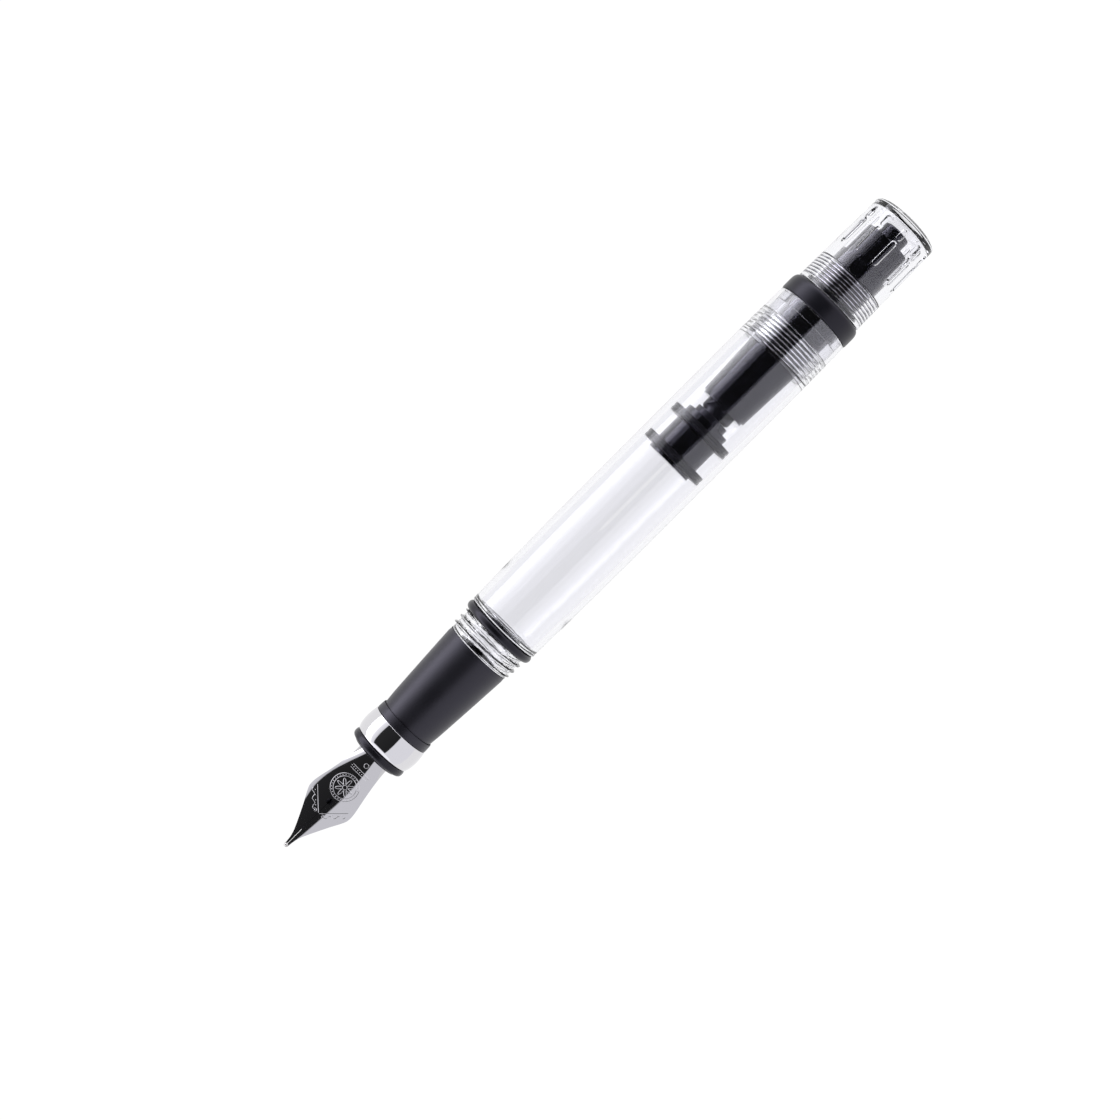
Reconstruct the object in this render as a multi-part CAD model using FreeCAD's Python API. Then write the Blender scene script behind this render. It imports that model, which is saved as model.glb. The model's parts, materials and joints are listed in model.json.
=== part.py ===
"""Uncapped demonstrator fountain pen with a screw-driven piston filler.

The pen is modelled standing on its axis: local +Z runs from the nib's tip (z = 0) to the tail, and
local +Y is the side that the nib's top faces. place() then lays it down: the axis becomes +X, the
nib's top faces +Z, and the origin is on the table under the middle of the pen.

How it works: the clear knob turns the drive tube, whose two-start nut rides in helical grooves of
the piston rod. The rod's flats slide in the keyed mouth of the fixed sleeve, so the rod can't turn
and runs forward, while the knob's own fine thread backs it away from the collar.
"""

import FreeCAD, Part

import math
import os

from FreeCAD import Rotation, Vector

# ---- clearances (mm) ----
SEAT_GAP = 0.02  # between pieces that are pressed, glued or screwed together
RUN_GAP = 0.04  # radial, between pieces that slide or turn
FACE_GAP = 0.05  # between end faces that don't touch

# ---- lengths along the pen (mm) ----
NIB_SHOWN = 18.0  # nib's tip to the housing's nose
NOSE_LEN = 1.45  # nose of the housing, with the cap's sealing ring round it
TRIM_LEN = 3.8
GRIP_LEN = 15.3
CAP_THREAD_LEN = 3.4
GROOVE_LEN = 1.45  # groove of the shoulder ring
BARREL_LEN = 60.6
COLLAR_LEN = 2.9
KNOB_LEN = 16.1

# ---- stations, from the nib's tip ----
NOSE_Z = NIB_SHOWN
TRIM_Z = NOSE_Z + NOSE_LEN
GRIP_Z = TRIM_Z + TRIM_LEN
CAP_THREAD_Z = GRIP_Z + GRIP_LEN
GROOVE_Z = CAP_THREAD_Z + CAP_THREAD_LEN
BARREL_Z = GROOVE_Z + GROOVE_LEN
COLLAR_Z = BARREL_Z + BARREL_LEN
KNOB_Z = COLLAR_Z + COLLAR_LEN
TAIL_Z = KNOB_Z + KNOB_LEN

# ---- barrel ----
BARREL_R = 6.08  # widest, where a loop or clip holds it
BARREL_FRONT_R = 0.959 * BARREL_R
BARREL_REAR_R = 0.979 * BARREL_R
SWELL_LEN = 21.5  # from the shoulder to the straight stretch
STRAIGHT_LEN = 30.0  # straight stretch, at BARREL_R
CHAMBER_R = 0.844 * BARREL_R
CHAMBER_FRONT_R = 0.965 * CHAMBER_R  # ahead of the piston's travel
CHAMBER_WALL = 0.5  # front wall of the chamber, behind the shoulder ring
NECK_R = 0.650 * BARREL_R  # hidden neck that the grip is pushed over
NECK_BORE_R = 0.543 * BARREL_R
NECK_START = 1.0  # from the grip's front edge
CAP_THREAD_R = 0.905 * BARREL_R
CAP_THREAD_ROOT_R = 0.836 * BARREL_R
CAP_THREAD_PITCH = 1.10
SHOULDER_RING_WIRE_R = 0.69
SHOULDER_RING_R = 0.974 * BARREL_R  # outer radius

# ---- front end ----
NIB_R = 2.55  # outside of the nib's rolled shank
NIB_THICK = 0.30
NIB_LEN = 27.0
SHOULDER_HALF_WIDTH = 3.70
SLIT_WIDTH = 0.14
BREATHER_R = 0.45
BREATHER_Z = 9.35
TIPPING_R = 0.36
FEED_LEN = 37.2
FEED_TAIL_R = 1.10
FEED_TAIL_LEN = 4.2
FEED_FINS = 9
FIN_GAP = 0.32
FIN_PITCH = 0.78
HOUSING_NOSE_R = 0.536 * BARREL_R
HOUSING_LIP_R = 0.615 * BARREL_R
HOUSING_FLANGE_R = 0.638 * BARREL_R
NOSE_RING_WIRE_R = 0.62
TRIM_R = 0.793 * BARREL_R
TRIM_FRONT_R = 0.740 * BARREL_R
GRIP_FRONT_R = 0.760 * BARREL_R
GRIP_WAIST_R = 0.745 * BARREL_R
GRIP_REAR_R = 0.852 * BARREL_R

# ---- filler mechanism ----
SLEEVE_INSET = 17.7  # sleeve's front face, ahead of the barrel's end
SLEEVE_FRONT_R = 0.613 * BARREL_R
SLEEVE_R = 0.671 * BARREL_R
SLEEVE_FLANGE_R = 0.742 * BARREL_R
SLEEVE_FLANGE_LEN = 1.4  # inside the bushing, ahead of the collar
SLEEVE_LIP_R = 0.564 * BARREL_R
SLEEVE_LIP_LEN = 0.40
SLEEVE_MOUTH = 1.2
BUSHING_LEN = 8.1
BUSHING_R = 0.891 * BARREL_R
BUSHING_ROOT_R = 0.855 * BARREL_R
BUSHING_PITCH = 0.60
BUSHING_TURNS = 6.5
COLLAR_R = 0.985 * BARREL_R
STUB_LEN = 4.2
STUB_R = 0.650 * BARREL_R
STUB_ROOT_R = 0.604 * BARREL_R
KNOB_PITCH = 0.50
ROD_R = 0.396 * BARREL_R
ROD_FLAT = 0.842 * ROD_R  # half the distance across the rod's flats
ROD_SHOWN = 2.64
ROD_COLLAR_R = 1.112 * ROD_R
ROD_COLLAR_LEN = 0.95
ROD_LEAD = 8.0
ROD_STARTS = 2
ROD_GROOVE_WIDTH = 1.60
ROD_GROOVE_DEPTH = 0.187 * ROD_R
NUT_SIDE_GAP = 0.08  # along the pen, each side of the nut's ribs
NUT_LEN = 2.4
TUBE_WALL = 0.50
HEAD_GAP = 0.30  # from the sleeve's threaded stub
HEAD_R = 0.589 * BARREL_R
HEAD_WALL = 0.65
HEAD_SEAT_LEN = 2.20
DRIVE_PLUG_R = 0.336 * BARREL_R
DRIVE_PLUG_LEN = 2.05
DRIVE_PLUG_GAP = 0.80  # from the end of the knob's cavity

# ---- piston ----
PISTON_CORE_R = 0.698 * CHAMBER_R
SEAL_SEAT_R = 0.556 * CHAMBER_R
SEAL_LEN = 1.24
SEAL_SPACING = 3.83
REAR_COLLAR_LEN = 1.03
HEAD_CAP_LEN = 0.55
SEAL_DRAG_GAP = 0.03

# ---- knob ----
KNOB_FRONT_R = 0.913 * BARREL_R
KNOB_REAR_R = 0.865 * BARREL_R
KNOB_DOME = 0.90
KNOB_END_WALL = 1.80
FLUTES = 11
FLUTE_WIDTH = 0.80
FLUTE_DEPTH = 0.35
FLUTE_LEN = 4.2
FLUTE_START = 7.4  # from the knob's front face
SHORT_FLUTE_LEN = 1.7
FLUTE_BREAK = 0.40
FRICTION_RING_WIRE_R = 0.28
FRICTION_RECESS = 0.80

# ---- what follows from those ----
KNOB_BORE_R = STUB_R + 0.03
ROD_CORE_R = ROD_R - ROD_GROOVE_DEPTH
SLEEVE_Z = COLLAR_Z - SLEEVE_INSET
STUB_END = KNOB_Z + STUB_LEN
TUBE_BORE_R = ROD_R + RUN_GAP + 0.02
TUBE_R = TUBE_BORE_R + TUBE_WALL
SLEEVE_BORE_R = TUBE_R + RUN_GAP
NUT_Z = SLEEVE_Z + SLEEVE_MOUTH + 0.30
HEAD_Z = STUB_END + HEAD_GAP
HEAD_END = TAIL_Z - KNOB_END_WALL - DRIVE_PLUG_LEN - DRIVE_PLUG_GAP
TUBE_BORE_END = HEAD_END - HEAD_WALL
ROD_FRONT = SLEEVE_Z - ROD_SHOWN
ROD_REAR = TUBE_BORE_END - 0.30
ROD_TRAVEL_PER_TURN = ROD_LEAD - KNOB_PITCH
TURNS = math.floor((ROD_REAR - NUT_Z - NUT_LEN) / ROD_LEAD * 12) / 12  # rounded down to 30 degrees
PISTON_TRAVEL = TURNS * ROD_TRAVEL_PER_TURN
REAR_SEAL_Z = ROD_FRONT - REAR_COLLAR_LEN - SEAL_LEN
FRONT_SEAL_Z = REAR_SEAL_Z - SEAL_SPACING - SEAL_LEN
BORE_STEP_Z = FRONT_SEAL_Z - PISTON_TRAVEL - 0.5
BUSHING_Z = COLLAR_Z - BUSHING_LEN
FEED_SHOULDER_Z = FEED_LEN - FEED_TAIL_LEN

SOLIDS = {}


def rz(r, z):
    """A point of a turned profile, at radius r and station z."""
    return Vector(r, 0, z)


def line(a, b):
    return Part.LineSegment(a, b).toShape()


def outline(points):
    """A closed wire of straight edges through the points."""
    return Part.Wire([line(a, b) for a, b in zip(points, points[1:] + points[:1])])


def turned(points):
    """A solid of revolution about the pen's axis, from (r, z) points."""
    wire = outline([rz(r, z) for r, z in points])
    return Part.Face(wire).revolve(Vector(), Vector(0, 0, 1), 360)


def tube(r_in, r_out, z, length):
    outer = Part.makeCylinder(r_out, length, Vector(0, 0, z))
    return outer.cut(Part.makeCylinder(r_in, length, Vector(0, 0, z)))


def ring(wire_r, outer_r, z):
    """An O-ring, its middle at z."""
    return Part.makeTorus(outer_r - wire_r, wire_r, Vector(0, 0, z))


def rounded(shape, radius, z, r):
    """The shape with its round edge of radius r at station z filleted."""
    edges = [
        e
        for e in shape.Edges
        if isinstance(e.Curve, Part.Circle)
        and abs(e.Curve.Radius - r) < 1e-4
        and abs(e.Curve.Center.z - z) < 1e-4
    ]
    return shape.makeFillet(radius, edges)


def helical_ridge(inner_r, outer_r, inner_width, outer_width, lead, z, height, turn=0.0):
    """A right-handed helical rib between two radii, whose middle starts at station z."""
    helix = Part.makeHelix(lead, height, inner_r)
    profile = outline(
        [
            rz(inner_r, -inner_width / 2),
            rz(outer_r, -outer_width / 2),
            rz(outer_r, outer_width / 2),
            rz(inner_r, inner_width / 2),
        ]
    )
    rib = Part.Wire(helix).makePipeShell([profile], True, True)
    rib.rotate(Vector(), Vector(0, 0, 1), turn)
    rib.translate(Vector(0, 0, z))
    return rib


def male_thread(root_r, crest_r, pitch, z, turns):
    """A screw thread's ridge, set slightly into the core so that the two fuse."""
    bite = 0.08
    return helical_ridge(root_r - bite, crest_r, pitch * 0.72, pitch * 0.16, pitch, z, pitch * turns)


def add(name, shape):
    """Keeps a finished piece under its node's name."""
    SOLIDS[name] = shape


# ---- barrel: one clear moulding, with the cap's thread, the ink chamber and the neck for the grip ----
def barrel():
    swell_end = BARREL_Z + SWELL_LEN
    straight_end = swell_end + STRAIGHT_LEN
    neck_z = GRIP_Z + NECK_START
    seat_r = SHOULDER_RING_R - 2 * SHOULDER_RING_WIRE_R - SEAT_GAP
    counterbore_r = BUSHING_R + SEAT_GAP
    taper = 0.4
    swell_mid = (BARREL_FRONT_R + BARREL_R) / 2 + 0.09
    edge = 0.2
    front = [
        rz(NECK_BORE_R, neck_z),
        rz(NECK_R, neck_z),
        rz(NECK_R, CAP_THREAD_Z),
        rz(CAP_THREAD_ROOT_R - edge, CAP_THREAD_Z),
        rz(CAP_THREAD_ROOT_R, CAP_THREAD_Z + edge),
        rz(CAP_THREAD_ROOT_R, GROOVE_Z),
        rz(seat_r, GROOVE_Z),
        rz(seat_r, BARREL_Z),
        rz(BARREL_FRONT_R - edge, BARREL_Z),
        rz(BARREL_FRONT_R, BARREL_Z + edge),
    ]
    rear = [
        rz(BARREL_R, swell_end),
        rz(BARREL_R, straight_end),
        rz(BARREL_REAR_R, COLLAR_Z - edge),
        rz(BARREL_REAR_R - edge, COLLAR_Z),
        rz(counterbore_r, COLLAR_Z),
        rz(counterbore_r, BUSHING_Z),
        rz(CHAMBER_R, BUSHING_Z),
        rz(CHAMBER_R, BORE_STEP_Z),
        rz(CHAMBER_FRONT_R, BORE_STEP_Z - taper),
        rz(CHAMBER_FRONT_R, BARREL_Z + CHAMBER_WALL + taper),
        rz(CHAMBER_FRONT_R - taper, BARREL_Z + CHAMBER_WALL),
        rz(NECK_BORE_R, BARREL_Z + CHAMBER_WALL),
    ]
    swell = Part.Arc(front[-1], rz(swell_mid, BARREL_Z + SWELL_LEN / 2), rear[0]).toShape()
    edges = [line(a, b) for a, b in zip(front, front[1:])] + [swell]
    edges += [line(a, b) for a, b in zip(rear, rear[1:])] + [line(rear[-1], front[0])]
    body = Part.Face(Part.Wire(edges)).revolve(Vector(), Vector(0, 0, 1), 360)
    lead_in = CAP_THREAD_PITCH * 0.6
    turns = (CAP_THREAD_LEN - 2 * lead_in) / CAP_THREAD_PITCH
    ridge = male_thread(CAP_THREAD_ROOT_R, CAP_THREAD_R, CAP_THREAD_PITCH, CAP_THREAD_Z + lead_in, turns)
    add("barrel", body.fuse(ridge))
    add("shoulder_ring", ring(SHOULDER_RING_WIRE_R, SHOULDER_RING_R, BARREL_Z - SHOULDER_RING_WIRE_R))


# ---- grip sleeve and its chrome trim ring ----
def grip():
    bore_r = NECK_R + SEAT_GAP
    waist_z = GRIP_Z + 0.15 * GRIP_LEN
    flare_z = GRIP_Z + 0.55 * GRIP_LEN
    flare_r = GRIP_WAIST_R + 0.50 * (GRIP_REAR_R - GRIP_WAIST_R)
    side = Part.BSplineCurve()
    side.interpolate(
        [
            rz(GRIP_FRONT_R, GRIP_Z),
            rz(GRIP_WAIST_R, waist_z),
            rz(flare_r, flare_z),
            rz(GRIP_REAR_R, CAP_THREAD_Z),
        ]
    )
    edges = [
        side.toShape(),
        line(rz(GRIP_REAR_R, CAP_THREAD_Z), rz(bore_r, CAP_THREAD_Z)),
        line(rz(bore_r, CAP_THREAD_Z), rz(bore_r, GRIP_Z)),
        line(rz(bore_r, GRIP_Z), rz(GRIP_FRONT_R, GRIP_Z)),
    ]
    add("grip_sleeve", Part.Face(Part.Wire(edges)).revolve(Vector(), Vector(0, 0, 1), 360))
    trim_bore = HOUSING_FLANGE_R + SEAT_GAP
    back_r = GRIP_FRONT_R + 0.06
    trim = turned(
        [
            (trim_bore, TRIM_Z),
            (TRIM_FRONT_R, TRIM_Z),
            (TRIM_R, TRIM_Z + 0.55),
            (TRIM_R, GRIP_Z - 0.9),
            (back_r, GRIP_Z),
            (trim_bore, GRIP_Z),
        ]
    )
    trim = rounded(trim, 0.30, TRIM_Z, TRIM_FRONT_R)
    trim = rounded(trim, 0.45, TRIM_Z + 0.55, TRIM_R)
    trim = rounded(trim, 0.60, GRIP_Z - 0.9, TRIM_R)
    add("trim_ring", trim)


# ---- nib housing, inside the grip, with its two sealing rings ----
def nib_housing():
    bore_r = NIB_R + RUN_GAP
    tail_r = NECK_BORE_R - RUN_GAP
    neck_z = GRIP_Z + NECK_START
    rear_z = FEED_LEN - 0.2
    seat_z = FEED_SHOULDER_Z + FACE_GAP
    seal_groove_r = 2.80
    seal_wire_r = (NECK_BORE_R - SEAT_GAP - seal_groove_r) / 2
    seal_z = seat_z + 2.2
    seal_half = seal_wire_r + 0.05
    lip_len = 0.16
    body = turned(
        [
            (bore_r, NOSE_Z),
            (HOUSING_LIP_R - 0.12, NOSE_Z),
            (HOUSING_LIP_R, NOSE_Z + 0.12),
            (HOUSING_LIP_R, NOSE_Z + lip_len),
            (HOUSING_NOSE_R, NOSE_Z + lip_len),
            (HOUSING_NOSE_R, TRIM_Z),
            (HOUSING_FLANGE_R, TRIM_Z),
            (HOUSING_FLANGE_R, neck_z - SEAT_GAP),
            (tail_r, neck_z - SEAT_GAP),
            (tail_r, seal_z - seal_half),
            (seal_groove_r, seal_z - seal_half),
            (seal_groove_r, seal_z + seal_half),
            (tail_r, seal_z + seal_half),
            (tail_r, rear_z - 0.4),
            (tail_r - 0.4, rear_z),
            (FEED_TAIL_R + RUN_GAP, rear_z),
            (FEED_TAIL_R + RUN_GAP, seat_z),
            (bore_r, seat_z),
        ]
    )
    add("nib_housing", body)
    nose_ring_r = HOUSING_NOSE_R + SEAT_GAP + 2 * NOSE_RING_WIRE_R
    add("nose_ring", ring(NOSE_RING_WIRE_R, nose_ring_r, TRIM_Z - NOSE_RING_WIRE_R))
    add("housing_seal", ring(seal_wire_r - SEAT_GAP / 2, NECK_BORE_R - SEAT_GAP, seal_z))


# ---- nib: a rolled steel sheet, slit from its breather hole to the tip, with a hard bead welded on ----
def nib_section(z, half_width, top, roll_r):
    """A closed curved strip: the nib's sheet cut across at station z, its crown at height top."""
    centre = Vector(0, top - roll_r, z)
    half_turn = math.asin(half_width / roll_r)

    def at(radius, angle):
        return centre + Vector(radius * math.sin(angle), radius * math.cos(angle), 0)

    inner_r = roll_r - NIB_THICK
    outer = Part.Arc(at(roll_r, -half_turn), at(roll_r, 0), at(roll_r, half_turn)).toShape()
    inner = Part.Arc(at(inner_r, half_turn), at(inner_r, 0), at(inner_r, -half_turn)).toShape()
    right = line(at(roll_r, half_turn), at(inner_r, half_turn))
    left = line(at(inner_r, -half_turn), at(roll_r, -half_turn))
    return Part.Wire([outer, right, inner, left])


def nib():
    shank_half = NIB_R * math.sin(math.radians(80))
    waist_z = NIB_SHOWN - 0.6
    shoulder = SHOULDER_HALF_WIDTH
    sections = [
        nib_section(0.34, 0.30, 0.46, 1.20),
        nib_section(3.0, 0.22 * shoulder, 1.04, 1.70),
        nib_section(6.0, 0.60 * shoulder, 1.62, 3.10),
        nib_section(BREATHER_Z - 0.3, shoulder, 2.12, 4.25),
        nib_section(10.4, 0.97 * shoulder, 2.24, 4.15),
        nib_section(13.6, 0.81 * shoulder, 2.45, 3.20),
        nib_section(waist_z, shank_half, NIB_R, NIB_R),
        nib_section(NIB_LEN, shank_half, NIB_R, NIB_R),
    ]
    front = Part.makeLoft(sections[:-1], True, False)
    shank = Part.makeLoft(sections[-2:], True, True)
    sheet = front.fuse(shank)
    slit_len = BREATHER_Z
    slit = Part.makeBox(SLIT_WIDTH, 2 * NIB_R, slit_len + 1, Vector(-SLIT_WIDTH / 2, -NIB_R / 2, -1))
    breather = Part.makeCylinder(BREATHER_R, 3 * NIB_R, Vector(0, -NIB_R / 2, BREATHER_Z), Vector(0, 1, 0))
    add("nib", sheet.cut(slit).cut(breather))
    bead_centre = Vector(0, 0.30, TIPPING_R)
    bead = Part.makeSphere(TIPPING_R, bead_centre)
    bead = bead.cut(slit).cut(sheet)
    add("nib_tipping", bead)


# ---- feed: the finned black plastic rod under the nib that carries the ink ----
def feed():
    body_r = NIB_R - NIB_THICK - RUN_GAP - 0.03
    profile = turned(
        [
            (0, 3.4),
            (0.30, 3.4),
            (1.00, 6.0),
            (1.48, 9.0),
            (1.88, 13.5),
            (body_r, NIB_SHOWN - 0.6),
            (body_r, FEED_SHOULDER_Z),
            (FEED_TAIL_R, FEED_SHOULDER_Z),
            (FEED_TAIL_R, FEED_LEN),
            (0, FEED_LEN),
        ]
    )
    fin_root_r = 0.85
    below_nib = Part.makeBox(4 * NIB_R, 2 * NIB_R, FEED_LEN, Vector(-2 * NIB_R, 0.35 - 2 * NIB_R, 0))
    first = NIB_SHOWN - 1.2 - FEED_FINS * FIN_PITCH
    gaps = [tube(fin_root_r, 2 * NIB_R, first + n * FIN_PITCH, FIN_GAP) for n in range(FEED_FINS)]
    comb = Part.makeCompound(gaps).common(below_nib)
    channel_width = 0.30
    channel = Part.makeBox(channel_width, body_r, FEED_LEN, Vector(-channel_width / 2, 0.75, 0))
    add("feed", profile.cut(comb).cut(channel))


# ---- piston: a two-ring spool on a keyed rod ----
def piston():
    rear_collar_z = REAR_SEAL_Z + SEAL_LEN
    spool_gap = 0.01
    stem_r = 0.42 * SEAL_SEAT_R
    tenon_r = ROD_CORE_R - 0.35
    tenon_len = 3.0
    core = [
        (0, FRONT_SEAL_Z),
        (SEAL_SEAT_R, FRONT_SEAL_Z),
        (SEAL_SEAT_R, FRONT_SEAL_Z + SEAL_LEN),
        (PISTON_CORE_R, FRONT_SEAL_Z + SEAL_LEN),
        (PISTON_CORE_R, REAR_SEAL_Z),
        (SEAL_SEAT_R, REAR_SEAL_Z),
        (SEAL_SEAT_R, rear_collar_z),
        (PISTON_CORE_R, rear_collar_z),
        (PISTON_CORE_R, ROD_FRONT),
        (0, ROD_FRONT),
    ]
    stem_hole = Part.makeCylinder(stem_r + SEAT_GAP, 2.4, Vector(0, 0, FRONT_SEAL_Z))
    tenon_hole = Part.makeCylinder(tenon_r + SEAT_GAP, tenon_len, Vector(0, 0, ROD_FRONT - tenon_len))
    add("piston_head", turned(core).cut(stem_hole).cut(tenon_hole))
    seal_r = CHAMBER_R - SEAL_DRAG_GAP
    groove = 0.12
    for name, z in (("front_seal", FRONT_SEAL_Z), ("rear_seal", REAR_SEAL_Z)):
        low, high = z + spool_gap, z + SEAL_LEN - spool_gap
        seat = SEAL_SEAT_R + SEAT_GAP
        middle = (low + high) / 2
        lips = [(seat, low), (seal_r, low), (seal_r, middle - 0.2), (seal_r - groove, middle)]
        lips += [(seal_r, middle + 0.2), (seal_r, high), (seat, high)]
        add(name, turned(lips))
    cap_z = FRONT_SEAL_Z - HEAD_CAP_LEN
    cap = [(0, cap_z), (PISTON_CORE_R - 0.15, cap_z), (PISTON_CORE_R, cap_z + 0.15)]
    cap += [(PISTON_CORE_R, FRONT_SEAL_Z - spool_gap), (stem_r, FRONT_SEAL_Z - spool_gap)]
    cap += [(stem_r, FRONT_SEAL_Z + 2.2), (0, FRONT_SEAL_Z + 2.2)]
    add("piston_head_cap", turned(cap))

    flats_z = ROD_FRONT + ROD_COLLAR_LEN
    rib_width = ROD_LEAD / ROD_STARTS - ROD_GROOVE_WIDTH
    rib_z = flats_z + 0.2 + rib_width / 2
    rib_len = ROD_REAR - 0.2 - rib_width / 2 - rib_z
    bite = 0.1
    shaft = Part.makeCylinder(ROD_CORE_R, ROD_REAR - flats_z, Vector(0, 0, flats_z))
    for start in range(ROD_STARTS):
        shaft = shaft.fuse(drive_rib(rib_z, rib_len, start + 0.5, rib_width, ROD_CORE_R - bite, ROD_R))
    corner = Vector(-2 * ROD_R, -ROD_FLAT, flats_z)
    slab = Part.makeBox(4 * ROD_R, 2 * ROD_FLAT, ROD_REAR - flats_z + 1, corner)
    foot = turned(
        [
            (0, ROD_FRONT - tenon_len + FACE_GAP),
            (tenon_r, ROD_FRONT - tenon_len + FACE_GAP),
            (tenon_r, ROD_FRONT + spool_gap),
            (ROD_COLLAR_R, ROD_FRONT + spool_gap),
            (ROD_COLLAR_R, flats_z),
            (0, flats_z),
        ]
    )
    add("piston_rod", shaft.common(slab).fuse(foot))


def drive_rib(z, height, start, width, inner_r, outer_r):
    """A right-handed rib of the rod or of its nut, in step with the nut wherever along the pen it starts."""
    turn = 360.0 * (z - NUT_Z) / ROD_LEAD + 360.0 * start / ROD_STARTS
    return helical_ridge(inner_r, outer_r, width, width, ROD_LEAD, z, height, turn)


# ---- fixed sleeve, the clear threaded bushing that holds it, and the black collar ----
def sleeve_and_bushing():
    flange_z = COLLAR_Z - SLEEVE_FLANGE_LEN
    taper_end = BUSHING_Z - 0.2
    bore_z = SLEEVE_Z + SLEEVE_MOUTH
    body = turned(
        [
            (0, SLEEVE_Z),
            (SLEEVE_LIP_R, SLEEVE_Z),
            (SLEEVE_LIP_R, SLEEVE_Z + SLEEVE_LIP_LEN),
            (SLEEVE_FRONT_R, SLEEVE_Z + SLEEVE_LIP_LEN),
            (SLEEVE_R, taper_end),
            (SLEEVE_R, flange_z),
            (SLEEVE_FLANGE_R, flange_z),
            (SLEEVE_FLANGE_R, KNOB_Z - FACE_GAP),
            (STUB_ROOT_R, KNOB_Z - FACE_GAP),
            (STUB_ROOT_R, STUB_END - 0.15),
            (STUB_ROOT_R - 0.15, STUB_END),
            (SLEEVE_BORE_R, STUB_END),
            (SLEEVE_BORE_R, bore_z),
            (0, bore_z),
        ]
    )
    mouth_r = ROD_R + RUN_GAP
    mouth_flat = ROD_FLAT + RUN_GAP
    keyhole = Part.makeCylinder(mouth_r, SLEEVE_MOUTH + 1, Vector(0, 0, SLEEVE_Z - 0.5))
    corner = Vector(-ROD_COLLAR_R, -mouth_flat, SLEEVE_Z - 1)
    across = Part.makeBox(2 * ROD_COLLAR_R, 2 * mouth_flat, BARREL_LEN, corner)
    body = body.cut(keyhole.common(across))
    thread_z = KNOB_Z + 0.45
    turns = (STUB_END - 0.45 - thread_z) / KNOB_PITCH
    add("mechanism_sleeve", body.fuse(male_thread(STUB_ROOT_R, STUB_R, KNOB_PITCH, thread_z, turns)))

    shell = turned(
        [
            (SLEEVE_R + SEAT_GAP, BUSHING_Z + FACE_GAP),
            (BUSHING_ROOT_R, BUSHING_Z + FACE_GAP),
            (BUSHING_ROOT_R, BUSHING_Z + 4.7),
            (BUSHING_R, BUSHING_Z + 4.7),
            (BUSHING_R, COLLAR_Z),
            (SLEEVE_FLANGE_R + SEAT_GAP, COLLAR_Z),
            (SLEEVE_FLANGE_R + SEAT_GAP, flange_z - SEAT_GAP),
            (SLEEVE_R + SEAT_GAP, flange_z - SEAT_GAP),
        ]
    )
    ridge = male_thread(BUSHING_ROOT_R, BUSHING_R, BUSHING_PITCH, BUSHING_Z + 0.5, BUSHING_TURNS)
    add("threaded_bushing", shell.fuse(ridge))

    collar_bore_r = SLEEVE_FLANGE_R + SEAT_GAP
    collar_len = COLLAR_LEN - SEAT_GAP - FACE_GAP
    collar = tube(collar_bore_r, COLLAR_R, COLLAR_Z + SEAT_GAP, collar_len)
    collar = rounded(collar, 0.35, COLLAR_Z + SEAT_GAP, COLLAR_R)
    collar = rounded(collar, 1.10, KNOB_Z - FACE_GAP, COLLAR_R)
    add("collar_ring", collar)


# ---- drive tube: turns with the knob; its nut runs in the rod's grooves ----
def drive_tube():
    plug_hole_r = 0.70
    body = turned(
        [
            (TUBE_BORE_R, NUT_Z),
            (TUBE_R, NUT_Z),
            (TUBE_R, HEAD_Z),
            (KNOB_BORE_R - SEAT_GAP, HEAD_Z),
            (KNOB_BORE_R - SEAT_GAP, HEAD_Z + HEAD_SEAT_LEN),
            (HEAD_R, HEAD_Z + HEAD_SEAT_LEN),
            (HEAD_R, HEAD_END - 0.2),
            (HEAD_R - 0.2, HEAD_END),
            (plug_hole_r + SEAT_GAP, HEAD_END),
            (plug_hole_r + SEAT_GAP, TUBE_BORE_END),
            (TUBE_BORE_R, TUBE_BORE_END),
        ]
    )
    nut_slice = tube(ROD_CORE_R, TUBE_BORE_R + 0.1, NUT_Z, NUT_LEN)
    rib_width = ROD_GROOVE_WIDTH - 2 * NUT_SIDE_GAP
    rib_z = NUT_Z - rib_width
    rib_len = NUT_LEN + 2 * rib_width
    for start in range(ROD_STARTS):
        rib = drive_rib(rib_z, rib_len, start, rib_width, ROD_CORE_R + RUN_GAP, TUBE_BORE_R + 0.15)
        body = body.fuse(rib.common(nut_slice))
    add("drive_tube", body)
    plug = turned(
        [
            (0, TUBE_BORE_END + 0.05),
            (plug_hole_r, TUBE_BORE_END + 0.05),
            (plug_hole_r, HEAD_END + 0.01),
            (DRIVE_PLUG_R, HEAD_END + 0.01),
            (DRIVE_PLUG_R, HEAD_END + DRIVE_PLUG_LEN),
            (0, HEAD_END + DRIVE_PLUG_LEN),
        ]
    )
    add("drive_plug", rounded(plug, 0.35, HEAD_END + DRIVE_PLUG_LEN, DRIVE_PLUG_R))


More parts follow.
